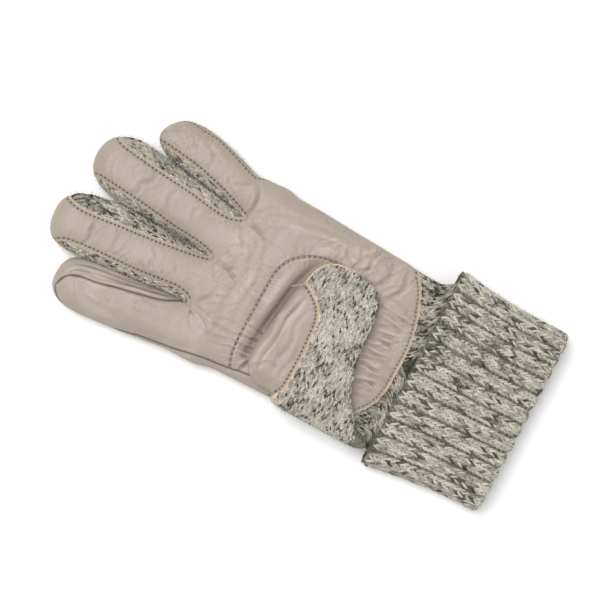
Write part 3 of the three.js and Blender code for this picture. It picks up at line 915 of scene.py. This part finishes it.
class Nodes:
    """Short ways to add shader nodes to one material."""

    def __init__(self, name):
        self.material = bpy.data.materials.new(name)
        self.material.use_nodes = True
        self.tree = self.material.node_tree
        self.surface = self.tree.nodes["Principled BSDF"]

    def join(self, value, socket):
        if isinstance(value, bpy.types.NodeSocket):
            self.tree.links.new(value, socket)
        else:
            socket.default_value = value

    def attribute(self, name):
        node = self.tree.nodes.new("ShaderNodeAttribute")
        node.attribute_name = name
        return node.outputs["Fac"]

    def calc(self, operation, *values):
        node = self.tree.nodes.new("ShaderNodeMath")
        node.operation = operation
        for value, socket in zip(values, node.inputs):
            self.join(value, socket)
        return node.outputs[0]

    def between(self, value, low, high, start=0.0, end=1.0):
        node = self.tree.nodes.new("ShaderNodeMapRange")
        node.interpolation_type = "SMOOTHSTEP"
        for number, socket in zip((value, low, high, start, end), node.inputs):
            self.join(number, socket)
        return node.outputs[0]

    def noise(self, scale, detail=3.0, stretch=(1, 1, 1), distortion=0.0):
        place = self.tree.nodes.new("ShaderNodeTexCoord")
        mapping = self.tree.nodes.new("ShaderNodeMapping")
        mapping.inputs["Scale"].default_value = stretch
        self.tree.links.new(place.outputs["Object"], mapping.inputs["Vector"])
        node = self.tree.nodes.new("ShaderNodeTexNoise")
        self.tree.links.new(mapping.outputs[0], node.inputs["Vector"])
        node.inputs["Scale"].default_value = scale
        node.inputs["Detail"].default_value = detail
        node.inputs["Distortion"].default_value = distortion
        return node.outputs["Fac"]

    def ridges(self, scale, stretch, distortion):
        """0 along thin wandering lines, up to 1 between them."""
        centred = self.calc("SUBTRACT", self.noise(scale, 2.0, stretch, distortion), 0.5)
        return self.calc("MULTIPLY", self.calc("ABSOLUTE", centred), 4.0)

    def puckers(self, along, across):
        """Small wrinkles that run away from a seam, given the distances along it and across it."""
        place = self.tree.nodes.new("ShaderNodeCombineXYZ")
        self.tree.links.new(self.calc("MULTIPLY", along, 0.62), place.inputs[0])
        self.tree.links.new(self.calc("MULTIPLY", across, 0.1), place.inputs[1])
        node = self.tree.nodes.new("ShaderNodeTexNoise")
        self.tree.links.new(place.outputs[0], node.inputs["Vector"])
        node.inputs["Scale"].default_value = 1.0
        node.inputs["Detail"].default_value = 2.5
        return self.calc("MULTIPLY", self.calc("SUBTRACT", node.outputs["Fac"], 0.5), 3.4)

    def mix(self, share, a, b):
        node = self.tree.nodes.new("ShaderNodeMix")
        node.data_type = "RGBA"
        colours = [socket for socket in node.inputs if socket.type == "RGBA"]
        self.join(share, node.inputs[0])
        self.join(a, colours[0])
        self.join(b, colours[1])
        return [socket for socket in node.outputs if socket.type == "RGBA"][0]

    def ramp(self, value, *stops):
        node = self.tree.nodes.new("ShaderNodeValToRGB")
        while len(node.color_ramp.elements) < len(stops):
            node.color_ramp.elements.new(0.5)
        for element, (place, colour) in zip(node.color_ramp.elements, stops):
            element.position = place
            element.color = colour
        self.join(value, node.inputs[0])
        return node.outputs[0]

    def bump(self, height, distance):
        node = self.tree.nodes.new("ShaderNodeBump")
        node.inputs["Strength"].default_value = 1.0
        node.inputs["Distance"].default_value = distance / 1000
        self.join(height, node.inputs["Height"])
        return node.outputs[0]

    def finish(self, colour, roughness, specular, normal=None):
        self.join(colour, self.surface.inputs["Base Color"])
        self.join(roughness, self.surface.inputs["Roughness"])
        self.surface.inputs["Specular IOR Level"].default_value = specular
        if normal is not None:
            self.tree.links.new(normal, self.surface.inputs["Normal"])
        return self.material


def srgb(red, green, blue):
    """A colour given as the eye reads it, from 0 to 255."""
    return (*(((c / 255 + 0.055) / 1.055) ** 2.4 for c in (red, green, blue)), 1)


COLOURS = {
    "leather_deep": srgb(163, 150, 137),
    "leather": srgb(175, 163, 150),
    # painted shade: the darker leather laid along fine wrinkles, the stitch row and the arched seam
    "wrinkle": srgb(112, 96, 82),
    # painted shade in the valleys of folds
    "fold": srgb(84, 70, 58),
    # painted highlight on the raised tops of folds
    "fold_top_highlight": srgb(206, 196, 184),
    "hole": srgb(52, 43, 36),
    "cut_edge": srgb(222, 196, 154),
    "panel_join": srgb(66, 54, 44),
    "wool_black": srgb(50, 49, 45),
    "wool_dark": srgb(98, 95, 87),
    "wool_grey": srgb(162, 157, 144),
    "wool_pale": srgb(214, 209, 196),
    "rust": srgb(128, 100, 72),
    "thread": srgb(190, 176, 160),
    "thread_dark": srgb(120, 100, 78),
}


def holes(nodes, across, along, pitch, half_width, half_length):
    """1 inside the holes of a row of stitches, 0 outside."""
    phase = nodes.calc("FRACT", nodes.calc("DIVIDE", along, pitch))
    phase = nodes.calc("ABSOLUTE", nodes.calc("SUBTRACT", phase, 0.5))
    inside_length = nodes.between(phase, half_length / pitch, (half_length + 0.25) / pitch, 1.0, 0.0)
    inside_width = nodes.between(nodes.calc("ABSOLUTE", across), half_width, half_width + 0.3, 1.0, 0.0)
    return nodes.calc("MULTIPLY", inside_length, inside_width)


def leather_look():
    nodes = Nodes("nappa_leather")
    edge, along = nodes.attribute("edge"), nodes.attribute("along")
    seam, seam_along, fold = nodes.attribute("seam"), nodes.attribute("seam_along"), nodes.attribute("fold")
    blotch = nodes.noise(26, 4)
    fine = nodes.noise(420, 4, distortion=0.6)
    ripple = nodes.ridges(60, (1.0, 0.7, 1.0), 0.5)
    wrinkle = nodes.ridges(240, (0.7, 1.0, 1.0), 0.9)
    creased = nodes.between(nodes.noise(34, 2), 0.5, 0.66)
    colour = nodes.ramp(blotch, (0.3, COLOURS["leather_deep"]), (0.7, COLOURS["leather"]))
    # painted shade: the leather is darkened along the lines of fine wrinkles
    line = nodes.calc("MULTIPLY", nodes.between(wrinkle, 0.22, 0.0, 0.0, 0.3), creased)
    colour = nodes.mix(line, colour, COLOURS["wrinkle"])
    # painted shade: darker where the fold relief sinks into a valley
    colour = nodes.mix(nodes.between(fold, -0.12, -1.6, 0.0, 0.7), colour, COLOURS["fold"])
    # painted highlight: lighter where the fold relief rises
    colour = nodes.mix(nodes.between(fold, 0.15, 0.5, 0.0, 0.35), colour, COLOURS["fold_top_highlight"])
    stitched = nodes.calc("SUBTRACT", edge, STITCH_IN)
    hole = nodes.calc(
        "MAXIMUM",
        holes(nodes, stitched, along, STITCH, 0.14, 0.3),
        holes(nodes, seam, seam_along, ARCH_STITCH, 0.3, 0.55),
    )
    panel_join = nodes.attribute("panel_join")
    # painted shade: the leather is darkened along the stitch row and along the arched seam, where their
    # grooves run
    shade = nodes.between(nodes.calc("ABSOLUTE", stitched), 0.0, 1.0, 0.3, 0.0)
    colour = nodes.mix(shade, colour, COLOURS["wrinkle"])
    colour = nodes.mix(nodes.between(seam, 0.0, 1.1, 0.3, 0.0), colour, COLOURS["wrinkle"])
    colour = nodes.mix(nodes.calc("MULTIPLY", hole, 0.8), colour, COLOURS["hole"])
    colour = nodes.mix(nodes.between(edge, 0.7, 1.05, 1.0, 0.0), colour, COLOURS["cut_edge"])
    colour = nodes.mix(nodes.between(panel_join, 0.1, 0.75, 0.75, 0.0), colour, COLOURS["panel_join"])
    height = nodes.calc("ADD", nodes.calc("MULTIPLY", fine, 0.2), nodes.calc("MULTIPLY", wrinkle, 0.35))
    folds = nodes.calc("MULTIPLY", nodes.between(ripple, 0.0, 0.3), nodes.calc("MULTIPLY", creased, 0.28))
    height = nodes.calc("ADD", height, folds)
    fading = nodes.between(edge, 3.0, 8.0, 1.0, 0.0)
    near_edge = nodes.calc("MULTIPLY", nodes.between(edge, 1.2, 2.4), fading)
    height = nodes.calc("ADD", height, nodes.calc("MULTIPLY", nodes.puckers(along, edge), near_edge))
    near_arch = nodes.between(seam, 0.6, 8.0, 1.5, 0.0)
    height = nodes.calc("ADD", height, nodes.calc("MULTIPLY", nodes.puckers(seam_along, seam), near_arch))
    height = nodes.calc("SUBTRACT", height, nodes.calc("MULTIPLY", hole, 1.4))
    roughness = nodes.between(blotch, 0.3, 0.7, 0.42, 0.54)
    return nodes.finish(colour, roughness, 0.42, nodes.bump(height, 0.34))


def knit_look():
    nodes = Nodes("wool_knit")
    tone = nodes.attribute("tone")
    flecks = nodes.noise(700, 3, (1, 1, 1), 0.8)
    patch = nodes.noise(60, 2)
    shifted = nodes.calc("ADD", tone, nodes.calc("MULTIPLY", nodes.calc("SUBTRACT", flecks, 0.5), 0.9))
    shifted = nodes.calc("ADD", shifted, nodes.calc("MULTIPLY", nodes.calc("SUBTRACT", patch, 0.5), 0.35))
    colour = nodes.ramp(
        shifted,
        (0.0, COLOURS["wool_black"]),
        (0.28, COLOURS["wool_dark"]),
        (0.55, COLOURS["wool_grey"]),
        (1.0, COLOURS["wool_pale"]),
    )
    rust = nodes.calc("LESS_THAN", tone, RUST / 2)
    colour = nodes.mix(nodes.calc("MULTIPLY", rust, 0.7), colour, COLOURS["rust"])
    height = nodes.calc("ADD", nodes.noise(1500, 3, (1, 1, 1), 1.0), flecks)
    return nodes.finish(colour, 0.95, 0.08, nodes.bump(height, 0.16))


def thread_look(name, colour):
    nodes = Nodes(name)
    twist = nodes.noise(1800, 2)
    mixed = nodes.mix(nodes.between(twist, 0.35, 0.65, 0.0, 0.35), colour, COLOURS["thread_dark"])
    return nodes.finish(mixed, 0.7, 0.25, nodes.bump(twist, 0.1))


LEATHER_LOOK = leather_look()
KNIT_LOOK = knit_look()
THREAD_LOOK = thread_look("sewing_thread", COLOURS["thread"])

# ---- the hand and the fingers --------------------------------------------------------------------


def centre_of(name):
    outline = np.array(FINGERS[name]["outline"])
    return outline[:, 0].min() / 2 + outline[:, 0].max() / 2


def edges_from(outline):
    """A function that gives the left and right edge of a closed outline at any y."""
    line = curve(outline, 8, closed=True)
    loop = np.vstack([line, line[:1]])

    def edges(y):
        low, high = loop[:-1], loop[1:]
        crossing = (low[:, 1] > y) != (high[:, 1] > y)
        a, b = low[crossing], high[crossing]
        x = a[:, 0] + (y - a[:, 1]) / (b[:, 1] - a[:, 1]) * (b[:, 0] - a[:, 0])
        return (x.min(), x.max()) if len(x) > 1 else (0.0, 0.0)

    return edges


def sheet_of(mesh, depth):
    places, faces = mesh
    return {"at": np.column_stack([places, normals_of(places, faces), depth]), "faces": faces}


def chosen_stitches(fabric, depth_of, kept):
    """The stitches of a fabric that lie on the knit and in one part of it."""
    return yarn(fabric, knit_wale, keep=lambda at: (depth_of(at) < 0.5) & kept(at))


def hand_parts(mesh):
    sheet = sheet_of(mesh, leather_depth(mesh[0], "hand"))
    sheet, _ = cut(sheet, SPLIT_Y - sheet["at"][:, 1])
    leather, knit = cut(sheet, sheet["at"][:, 6])
    strip, rest = cut(leather, within("side_strip", leather["at"]))
    gusset, palm = cut(rest, within("gusset", rest["at"]))
    leather_piece("side_strip_leather", strip, "hand", None, leather_relief)
    leather_piece("thumb_gusset_leather", gusset, "hand", None, leather_relief)
    leather_piece("palm_leather", palm, "hand", None, leather_relief)
    tree = BVHTree.FromPolygons(mesh[0].tolist(), mesh[1].tolist())
    rows = np.arange(63.0, 186.0, COURSE)
    fabric = tube_fabric(tree, rows, edges_from(HAND["outline"]), HAND["half_height"] + 0.6, 9.0, 90, 40)
    depth_of = partial(leather_depth, body="hand")
    stitches = chosen_stitches(fabric, depth_of, lambda at: at[:, 1] > WRIST_END_Y)
    knit_piece("hand_back_knit", knit, "hand", None, stitches, LOOSE["hand"])
    return tree


def rows_to_tip(start, top, reach):
    """Rows one course apart up a finger, closer in plan where they go over the curve of its tip."""
    flat = np.arange(top - reach, start, -COURSE)[::-1]
    turns = np.arange(COURSE / 8, np.pi / 2, COURSE / 8)
    return np.concatenate([flat, top - reach * (1 - np.sin(turns))])


def finger_parts(name, mesh):
    middle = centre_of(name)
    bend = ((middle, SPLIT_Y, 8), (middle, BEND_END_Y, 8))
    sheet = sheet_of(mesh, leather_depth(mesh[0], name))
    sheet, _ = cut(sheet, sheet["at"][:, 1] - SPLIT_Y)
    leather, knit = cut(sheet, sheet["at"][:, 6])
    if name == "index":
        side, rest = cut(leather, within("side_strip", leather["at"]))
        inner, front = cut(rest, within("index_inner", rest["at"]))
        leather_piece("index_left_fourchette_leather", side, name, bend, leather_relief)
        leather_piece("index_right_fourchette_leather", inner, name, bend, leather_relief)
        leather_piece("index_front_leather", front, name, bend, leather_relief)
    else:
        leather_piece(name + "_front_leather", leather, name, bend, leather_relief)
    tree = BVHTree.FromPolygons(mesh[0].tolist(), mesh[1].tolist())
    finger = FINGERS[name]
    edges = edges_from(finger["outline"])
    top = np.array(finger["outline"])[:, 1].max()
    rows = rows_to_tip(YARN_FROM_Y - 3 * COURSE, top, finger["round"])
    fabric = tube_fabric(tree, rows, edges, finger["half_height"], 9.0, 32, 17)
    depth_of = partial(leather_depth, body=name)
    signs = {"left": -1, "right": 1}

    def on_wall(at, side):
        """Positive on the wall on one side of the finger, above its back."""
        return np.minimum(at[:, 2] - WALL_LOW, signs[side] * (at[:, 0] - middle))

    def on_back(at):
        walls = [on_wall(at, side) <= 0 for side in finger["knitted_walls"]]
        return (at[:, 1] > YARN_FROM_Y) & np.all(walls, axis=0)

    for side in finger["knitted_walls"]:
        panel, knit = cut(knit, on_wall(knit["at"], side))
        stitches = chosen_stitches(
            fabric, depth_of, lambda at, side=side: (on_wall(at, side) > 0) & (at[:, 1] > YARN_FROM_Y)
        )
        knit_piece(f"{name}_{side}_fourchette_knit", panel, name, bend, stitches, LOOSE["wall"])
    stitches = chosen_stitches(fabric, depth_of, on_back)
    knit_piece(name + "_back_knit", knit, name, bend, stitches, LOOSE["finger"])


# ---- the thumb -----------------------------------------------------------------------------------


def thumb_relief(x, y):
    raised = 0.25 * cloud(x, y, 8, 4)
    for points, depth, width in THUMB_CREASES:
        raised += crease(x, y, points, depth, width)
    return raised


def thumb_fabric(tree):
    """The thumb's knit, with its wales running along the thumb and down over the hand's edge."""
    edges = edges_from(THUMB["outline"])
    found = []
    for y in np.arange(72.0, 146.0, WALE / 2):
        right = max(edges(y)[1], -36.0)
        round_right = np.radians(np.arange(-50, 91, 8))
        flat = np.arange(right - 6.5, -43.5, -0.8)
        round_left = np.radians(np.arange(90, 181, 8))
        wall = np.arange(24.0, 3.5, -0.8)
        ends = np.full(len(round_right), right - 6.5), np.full(len(round_left), -43.5)
        xs = np.concatenate([ends[0], flat, ends[1], 0 * wall - 44])
        angles = np.concatenate([round_right, 0 * flat + np.pi / 2, round_left, 0 * wall + np.pi])
        heights = np.concatenate([np.full(len(xs) - len(wall), 24.2), wall])
        origins = np.column_stack([xs, np.full(len(xs), y), heights])
        ways = np.column_stack([np.cos(angles), 0 * angles, np.sin(angles)])
        zero = len(round_right) + len(flat) + len(round_left) - 1
        found.append(spread(*hits(tree, origins, ways, 12), zero, COURSE, 54))
    grids = {key: np.array([row[i] for row in found]) for i, key in enumerate(("at", "normal", "there"))}
    return {key: np.swapaxes(grid_of, 0, 1) for key, grid_of in grids.items()}


def off_the_floor(at):
    """Whether each place is above the floor and past the thumb's lowest wale."""
    return (at[:, 2] > 2) & (at[:, 1] > 70)


def thumb_parts():
    mesh = thumb_surface()
    mesh = (relaxed(*mesh), mesh[1])
    sheet = sheet_of(mesh, thumb_leather_depth(mesh[0]))
    leather, knit = cut(sheet, sheet["at"][:, 6])
    leather_piece("thumb_front_leather", leather, "thumb", THUMB_BEND, thumb_relief)
    tree = BVHTree.FromPolygons(mesh[0].tolist(), mesh[1].tolist())
    stitches = chosen_stitches(thumb_fabric(tree), thumb_leather_depth, off_the_floor)
    knit_piece("thumb_back_knit", knit, "thumb", THUMB_BEND, stitches, LOOSE["thumb"])
    return tree


# ---- the cuff ------------------------------------------------------------------------------------


def cuff_place(along, turn):
    """A point of the cuff: along its cloth from the free edge over the fold, and turn round it."""
    length, layer = CUFF["length"] - CUFF["layer"] / 2, CUFF["layer"]
    fold = np.pi * layer / 2
    bent = np.clip((along - length) / fold, 0, 1)
    inside = np.clip((along - length - fold) / length, 0, 1)
    past_fold = np.where(bent < 1, -layer / 2 * np.sin(np.pi * bent), inside * length)
    y = np.where(along < length, length - along, past_fold)
    inset = layer / 2 * (1 - np.cos(np.pi * bent))
    share = np.clip(y / CUFF["length"], 0, 1)
    middle = CUFF["middle"][0] * (1 - share) + CUFF["middle"][1] * share
    half = CUFF["half"] + CUFF["flare"] * share**2.6 - inset
    height = CUFF["height"] / 2 - inset - 0.8
    flat = half - height
    around = 4 * flat + 2 * np.pi * height
    s = (turn % 1) * around
    x, z = section_place(s, flat, height)
    return np.stack([middle + x, y + layer / 2, CUFF["height"] / 2 + z], axis=-1)


def section_place(s, flat, height):
    """A point s along a flat rounded section, from its top centre clockwise."""
    arc = np.pi * height
    first, second, third, fourth = flat, flat + arc, 3 * flat + arc, 3 * flat + 2 * arc
    turned = [np.clip((s - start) / height, 0, np.pi) for start in (first, third)]
    angle = np.where(s < second, turned[0], np.pi + turned[1])
    x = np.where(s < first, s, np.where(s < second, flat, np.where(s < third, flat - (s - second), -flat)))
    x = np.where(s > fourth, -flat + (s - fourth), x)
    return x + height * np.sin(angle), height * np.cos(angle)


RIBS = 26


def rib_relief(turn):
    """How far the cloth of the ribs stands out: rounded ribs of two wales with one wale sunk between."""
    share = (turn * RIBS) % 1
    ridge = np.where(share < 2 / 3, np.sin(np.pi * np.clip(share * 1.5, 0, 1)) ** 0.55, 0)
    return CUFF["relief"] * (2 * ridge - 1.1)


def narrowed(turn):
    """The turn with each rib's purl wale, the last third of it, drawn in to a thin groove."""
    rib = np.floor(turn * RIBS)
    share = turn * RIBS - rib
    drawn = np.where(share < 2 / 3, share * 1.26, 0.84 + (share - 2 / 3) * 0.48)
    return (rib + drawn) / RIBS


def cuff_fabric(alongs, turns):
    along, plain_turn = np.meshgrid(alongs, turns, indexing="ij")
    turn = narrowed(plain_turn)
    turn = turn + 0.0012 * cloud(along, 40 * np.cos(2 * np.pi * turn), 16, 8)
    at = cuff_place(along, turn)
    step = 1e-4
    down = cuff_place(along + 0.05, turn) - at
    across = cuff_place(along, turn + step) - at
    normal = np.cross(down, across)
    normal /= np.linalg.norm(normal, axis=2, keepdims=True) + 1e-9
    ease = smoothstep(along, 0, 3)
    wave = 0.5 * cloud(at[..., 0], at[..., 1] + 3 * at[..., 2], 17, 9)
    raised = at + normal * (rib_relief(plain_turn) * (0.5 + 0.5 * ease) + wave)[..., None]
    return {"at": raised, "normal": normal, "there": np.ones(at.shape[:2], bool)}


def rib_wale(number):
    """Two knitted wales to each rib, then a purl one, which sinks out of sight in the groove."""
    return [] if number % 3 == 2 else [LEG, LEG * (-1, 1, 1)]


def cuff_parts():
    total = 2 * (CUFF["length"] - CUFF["layer"] / 2) + np.pi * CUFF["layer"] / 2
    rows = np.arange(0, total, 0.8)
    turns = np.linspace(0, 1, 312, endpoint=False)
    backing = cuff_fabric(rows, turns)
    places = backing["at"] - backing["normal"] * SINK
    n, m = places.shape[:2]
    i, j = np.meshgrid(np.arange(n - 1), np.arange(m), indexing="ij")

    def number(i, j):
        return (i * m + j % m).ravel()

    a, b, c, d = number(i, j), number(i, j + 1), number(i + 1, j + 1), number(i + 1, j)
    faces = np.vstack([np.column_stack([a, c, b]), np.column_stack([a, d, c])])
    places, faces, source = thickened(places.reshape(-1, 3), faces, 0.9)
    columns = RIBS * 6
    first = CUFF["length"] + 16
    fabric = cuff_fabric(np.arange(0.4, first, CUFF["course"]), np.arange(columns + 3) / columns)
    strands = yarn(fabric, rib_wale, CUFF["yarn"])
    # painted shade: the cuff's backing gets a dark wool tone, as shade between the ribs and stitches
    base = (places, faces, np.full(len(source), 0.31))
    places, faces, tone = joined(base, strands[:3], fuzz(strands[3], strands[4], LOOSE["cuff"]))
    shown("rib_cuff_knitted", places, faces, KNIT_LOOK, "hand", {"tone": tone}, ("rib_cuff",))


# ---- stitching -----------------------------------------------------------------------------------

THREAD_TAPER = np.array([0.6, 1, 1, 1, 0.6])
THREAD_LIFT = (-0.35, 0.2, 0.3, 0.2, -0.35)  # a stitch goes down into the leather at each end
LOOK_DOWN_Z = 45  # rays start above the glove


def stitching(name, tree, points, inset, pitch, body, bend=None, radius=0.32, extra=()):
    """Short stitches of thread along a seam, laid on the surface; name is the piece they replace."""
    line, _ = measured(curve(points), pitch / 6)
    ahead = np.gradient(line, axis=0)
    ahead /= np.linalg.norm(ahead, axis=1, keepdims=True)
    line = line + inset * np.column_stack([ahead[:, 1], -ahead[:, 0]])
    paths, normals = [], []
    for start in range(0, len(line) - 5, 6):
        path, facing = [], []
        for (x, y), lift in zip(line[start : start + 5], THREAD_LIFT):
            place, normal, _, _ = tree.ray_cast((x, y, LOOK_DOWN_Z), (0, 0, -1))
            if place is None:
                break
            path.append(np.array(place) + np.array(normal) * (lift + RAISE * 0.75))
            facing.append(np.array(normal))
        if len(path) == 5 and np.ptp([p[2] for p in path]) < 2.5:
            paths.append(path)
            normals.append(facing)
    paths, normals = np.array(paths), np.array(normals)
    places, faces, _ = tubes(paths, normals, np.tile(radius * THREAD_TAPER, (len(paths), 1)))
    for line_places, line_faces in extra:
        faces = np.vstack([faces, line_faces + len(places)])
        places = np.vstack([places, line_places])
    return shown(name + "_thread", places, faces, THREAD_LOOK, body, None, (name,), bend)


def strand(points, radius):
    """One length of thread through the points given in three dimensions."""
    p = np.array(points, float)
    flat, up = curve(p[:, :2], 6), curve(np.column_stack([np.arange(len(p)), p[:, 2]]), 6)[:, 1]
    path = np.column_stack([flat, up])[None]
    return tubes(path, np.tile([0.0, 0.0, 1.0], (1, path.shape[1], 1)), np.full(path.shape[:2], radius))[:2]


surfaces = sewn_surfaces()
hand_tree = hand_parts(surfaces["hand"])
for finger_name in FINGERS:
    finger_parts(finger_name, surfaces[finger_name])
thumb_tree = thumb_parts()
cuff_parts()
stitching("thumb_hole_stitching", hand_tree, THUMB_ARCH[:-2], 0, ARCH_STITCH, "hand", radius=0.3)
stitching("wrist_hem_stitching", hand_tree, WRIST_HEM[1:11], STITCH_IN, STITCH, "hand", radius=0.26)
THREAD_END = strand([(12.6, 136.6, 31.6), (11.4, 138.6, 32), (10, 140.8, 31), (8.5, 142.6, 30)], 0.34)
stitching(
    "thumb_seam_stitching", thumb_tree, THUMB_SEAM[1:11], -STITCH_IN, STITCH, "thumb",
    THUMB_BEND, 0.26, [THREAD_END],
)

# ---- floor, light and camera ---------------------------------------------------------------------

FLOOR_GAP = 0.1
FLOOR_WHITE = (0.97, 0.97, 0.97, 1)
SKY_STRENGTH = 0.3
FLOOR_HALF = 6.0  # metres
# Each light's name, where it shines from, its width in degrees and its power.
LIGHTS = [("key", (0.14, 0.42, 1.1), 34, 2.27), ("fill", (-0.2, -0.5, 1.2), 60, 0.7)]
LENS, SENSOR = 100, 36
VIEW_WIDTH = 0.3168  # metres across the picture, at the height of the palm
PALM_HEIGHT = 0.02
VIEW_MIDDLE = (0.0041, 0.1354)  # in the glove's plan, in metres
VIEW_TURN = -62  # degrees


def floor():
    mesh = bpy.data.meshes.new("floor")
    corners = [(x * FLOOR_HALF, y * FLOOR_HALF, 0) for x, y in ((-1, -1), (1, -1), (1, 1), (-1, 1))]
    mesh.from_pydata(corners, [], [(0, 1, 2, 3)])
    nodes = Nodes("floor")
    mesh.materials.append(nodes.finish(FLOOR_WHITE, 1.0, 0.0))
    thing = bpy.data.objects.new("floor", mesh)
    thing.location.z = (LOWEST - FLOOR_GAP) / 1000
    bpy.context.scene.collection.objects.link(thing)


def light(name, place, spread, power):
    """A far soft light that shines on the middle of the floor from this direction."""
    data = bpy.data.lights.new(name, "SUN")
    data.angle = math.radians(spread)
    data.energy = power
    thing = bpy.data.objects.new(name, data)
    thing.location = place
    thing.rotation_euler = (-Vector(place)).to_track_quat("-Z", "Y").to_euler()
    bpy.context.scene.collection.objects.link(thing)


def camera():
    data = bpy.data.cameras.new("camera")
    data.lens = LENS
    data.sensor_width = SENSOR
    thing = bpy.data.objects.new("camera", data)
    height = VIEW_WIDTH * LENS / SENSOR + PALM_HEIGHT
    thing.location = (VIEW_MIDDLE[0] - ORIGIN[0] / 1000, VIEW_MIDDLE[1] - ORIGIN[1] / 1000, height)
    thing.rotation_euler = (0, 0, math.radians(VIEW_TURN))
    bpy.context.scene.collection.objects.link(thing)
    bpy.context.scene.camera = thing


floor()
world = bpy.data.worlds.new("studio")
world.use_nodes = True
world.node_tree.nodes["Background"].inputs["Color"].default_value = (1, 1, 1, 1)
world.node_tree.nodes["Background"].inputs["Strength"].default_value = SKY_STRENGTH
bpy.context.scene.world = world
bpy.context.scene.view_settings.view_transform = "Standard"
for name, place, spread_degrees, power in LIGHTS:
    light(name, place, spread_degrees, power)
camera()
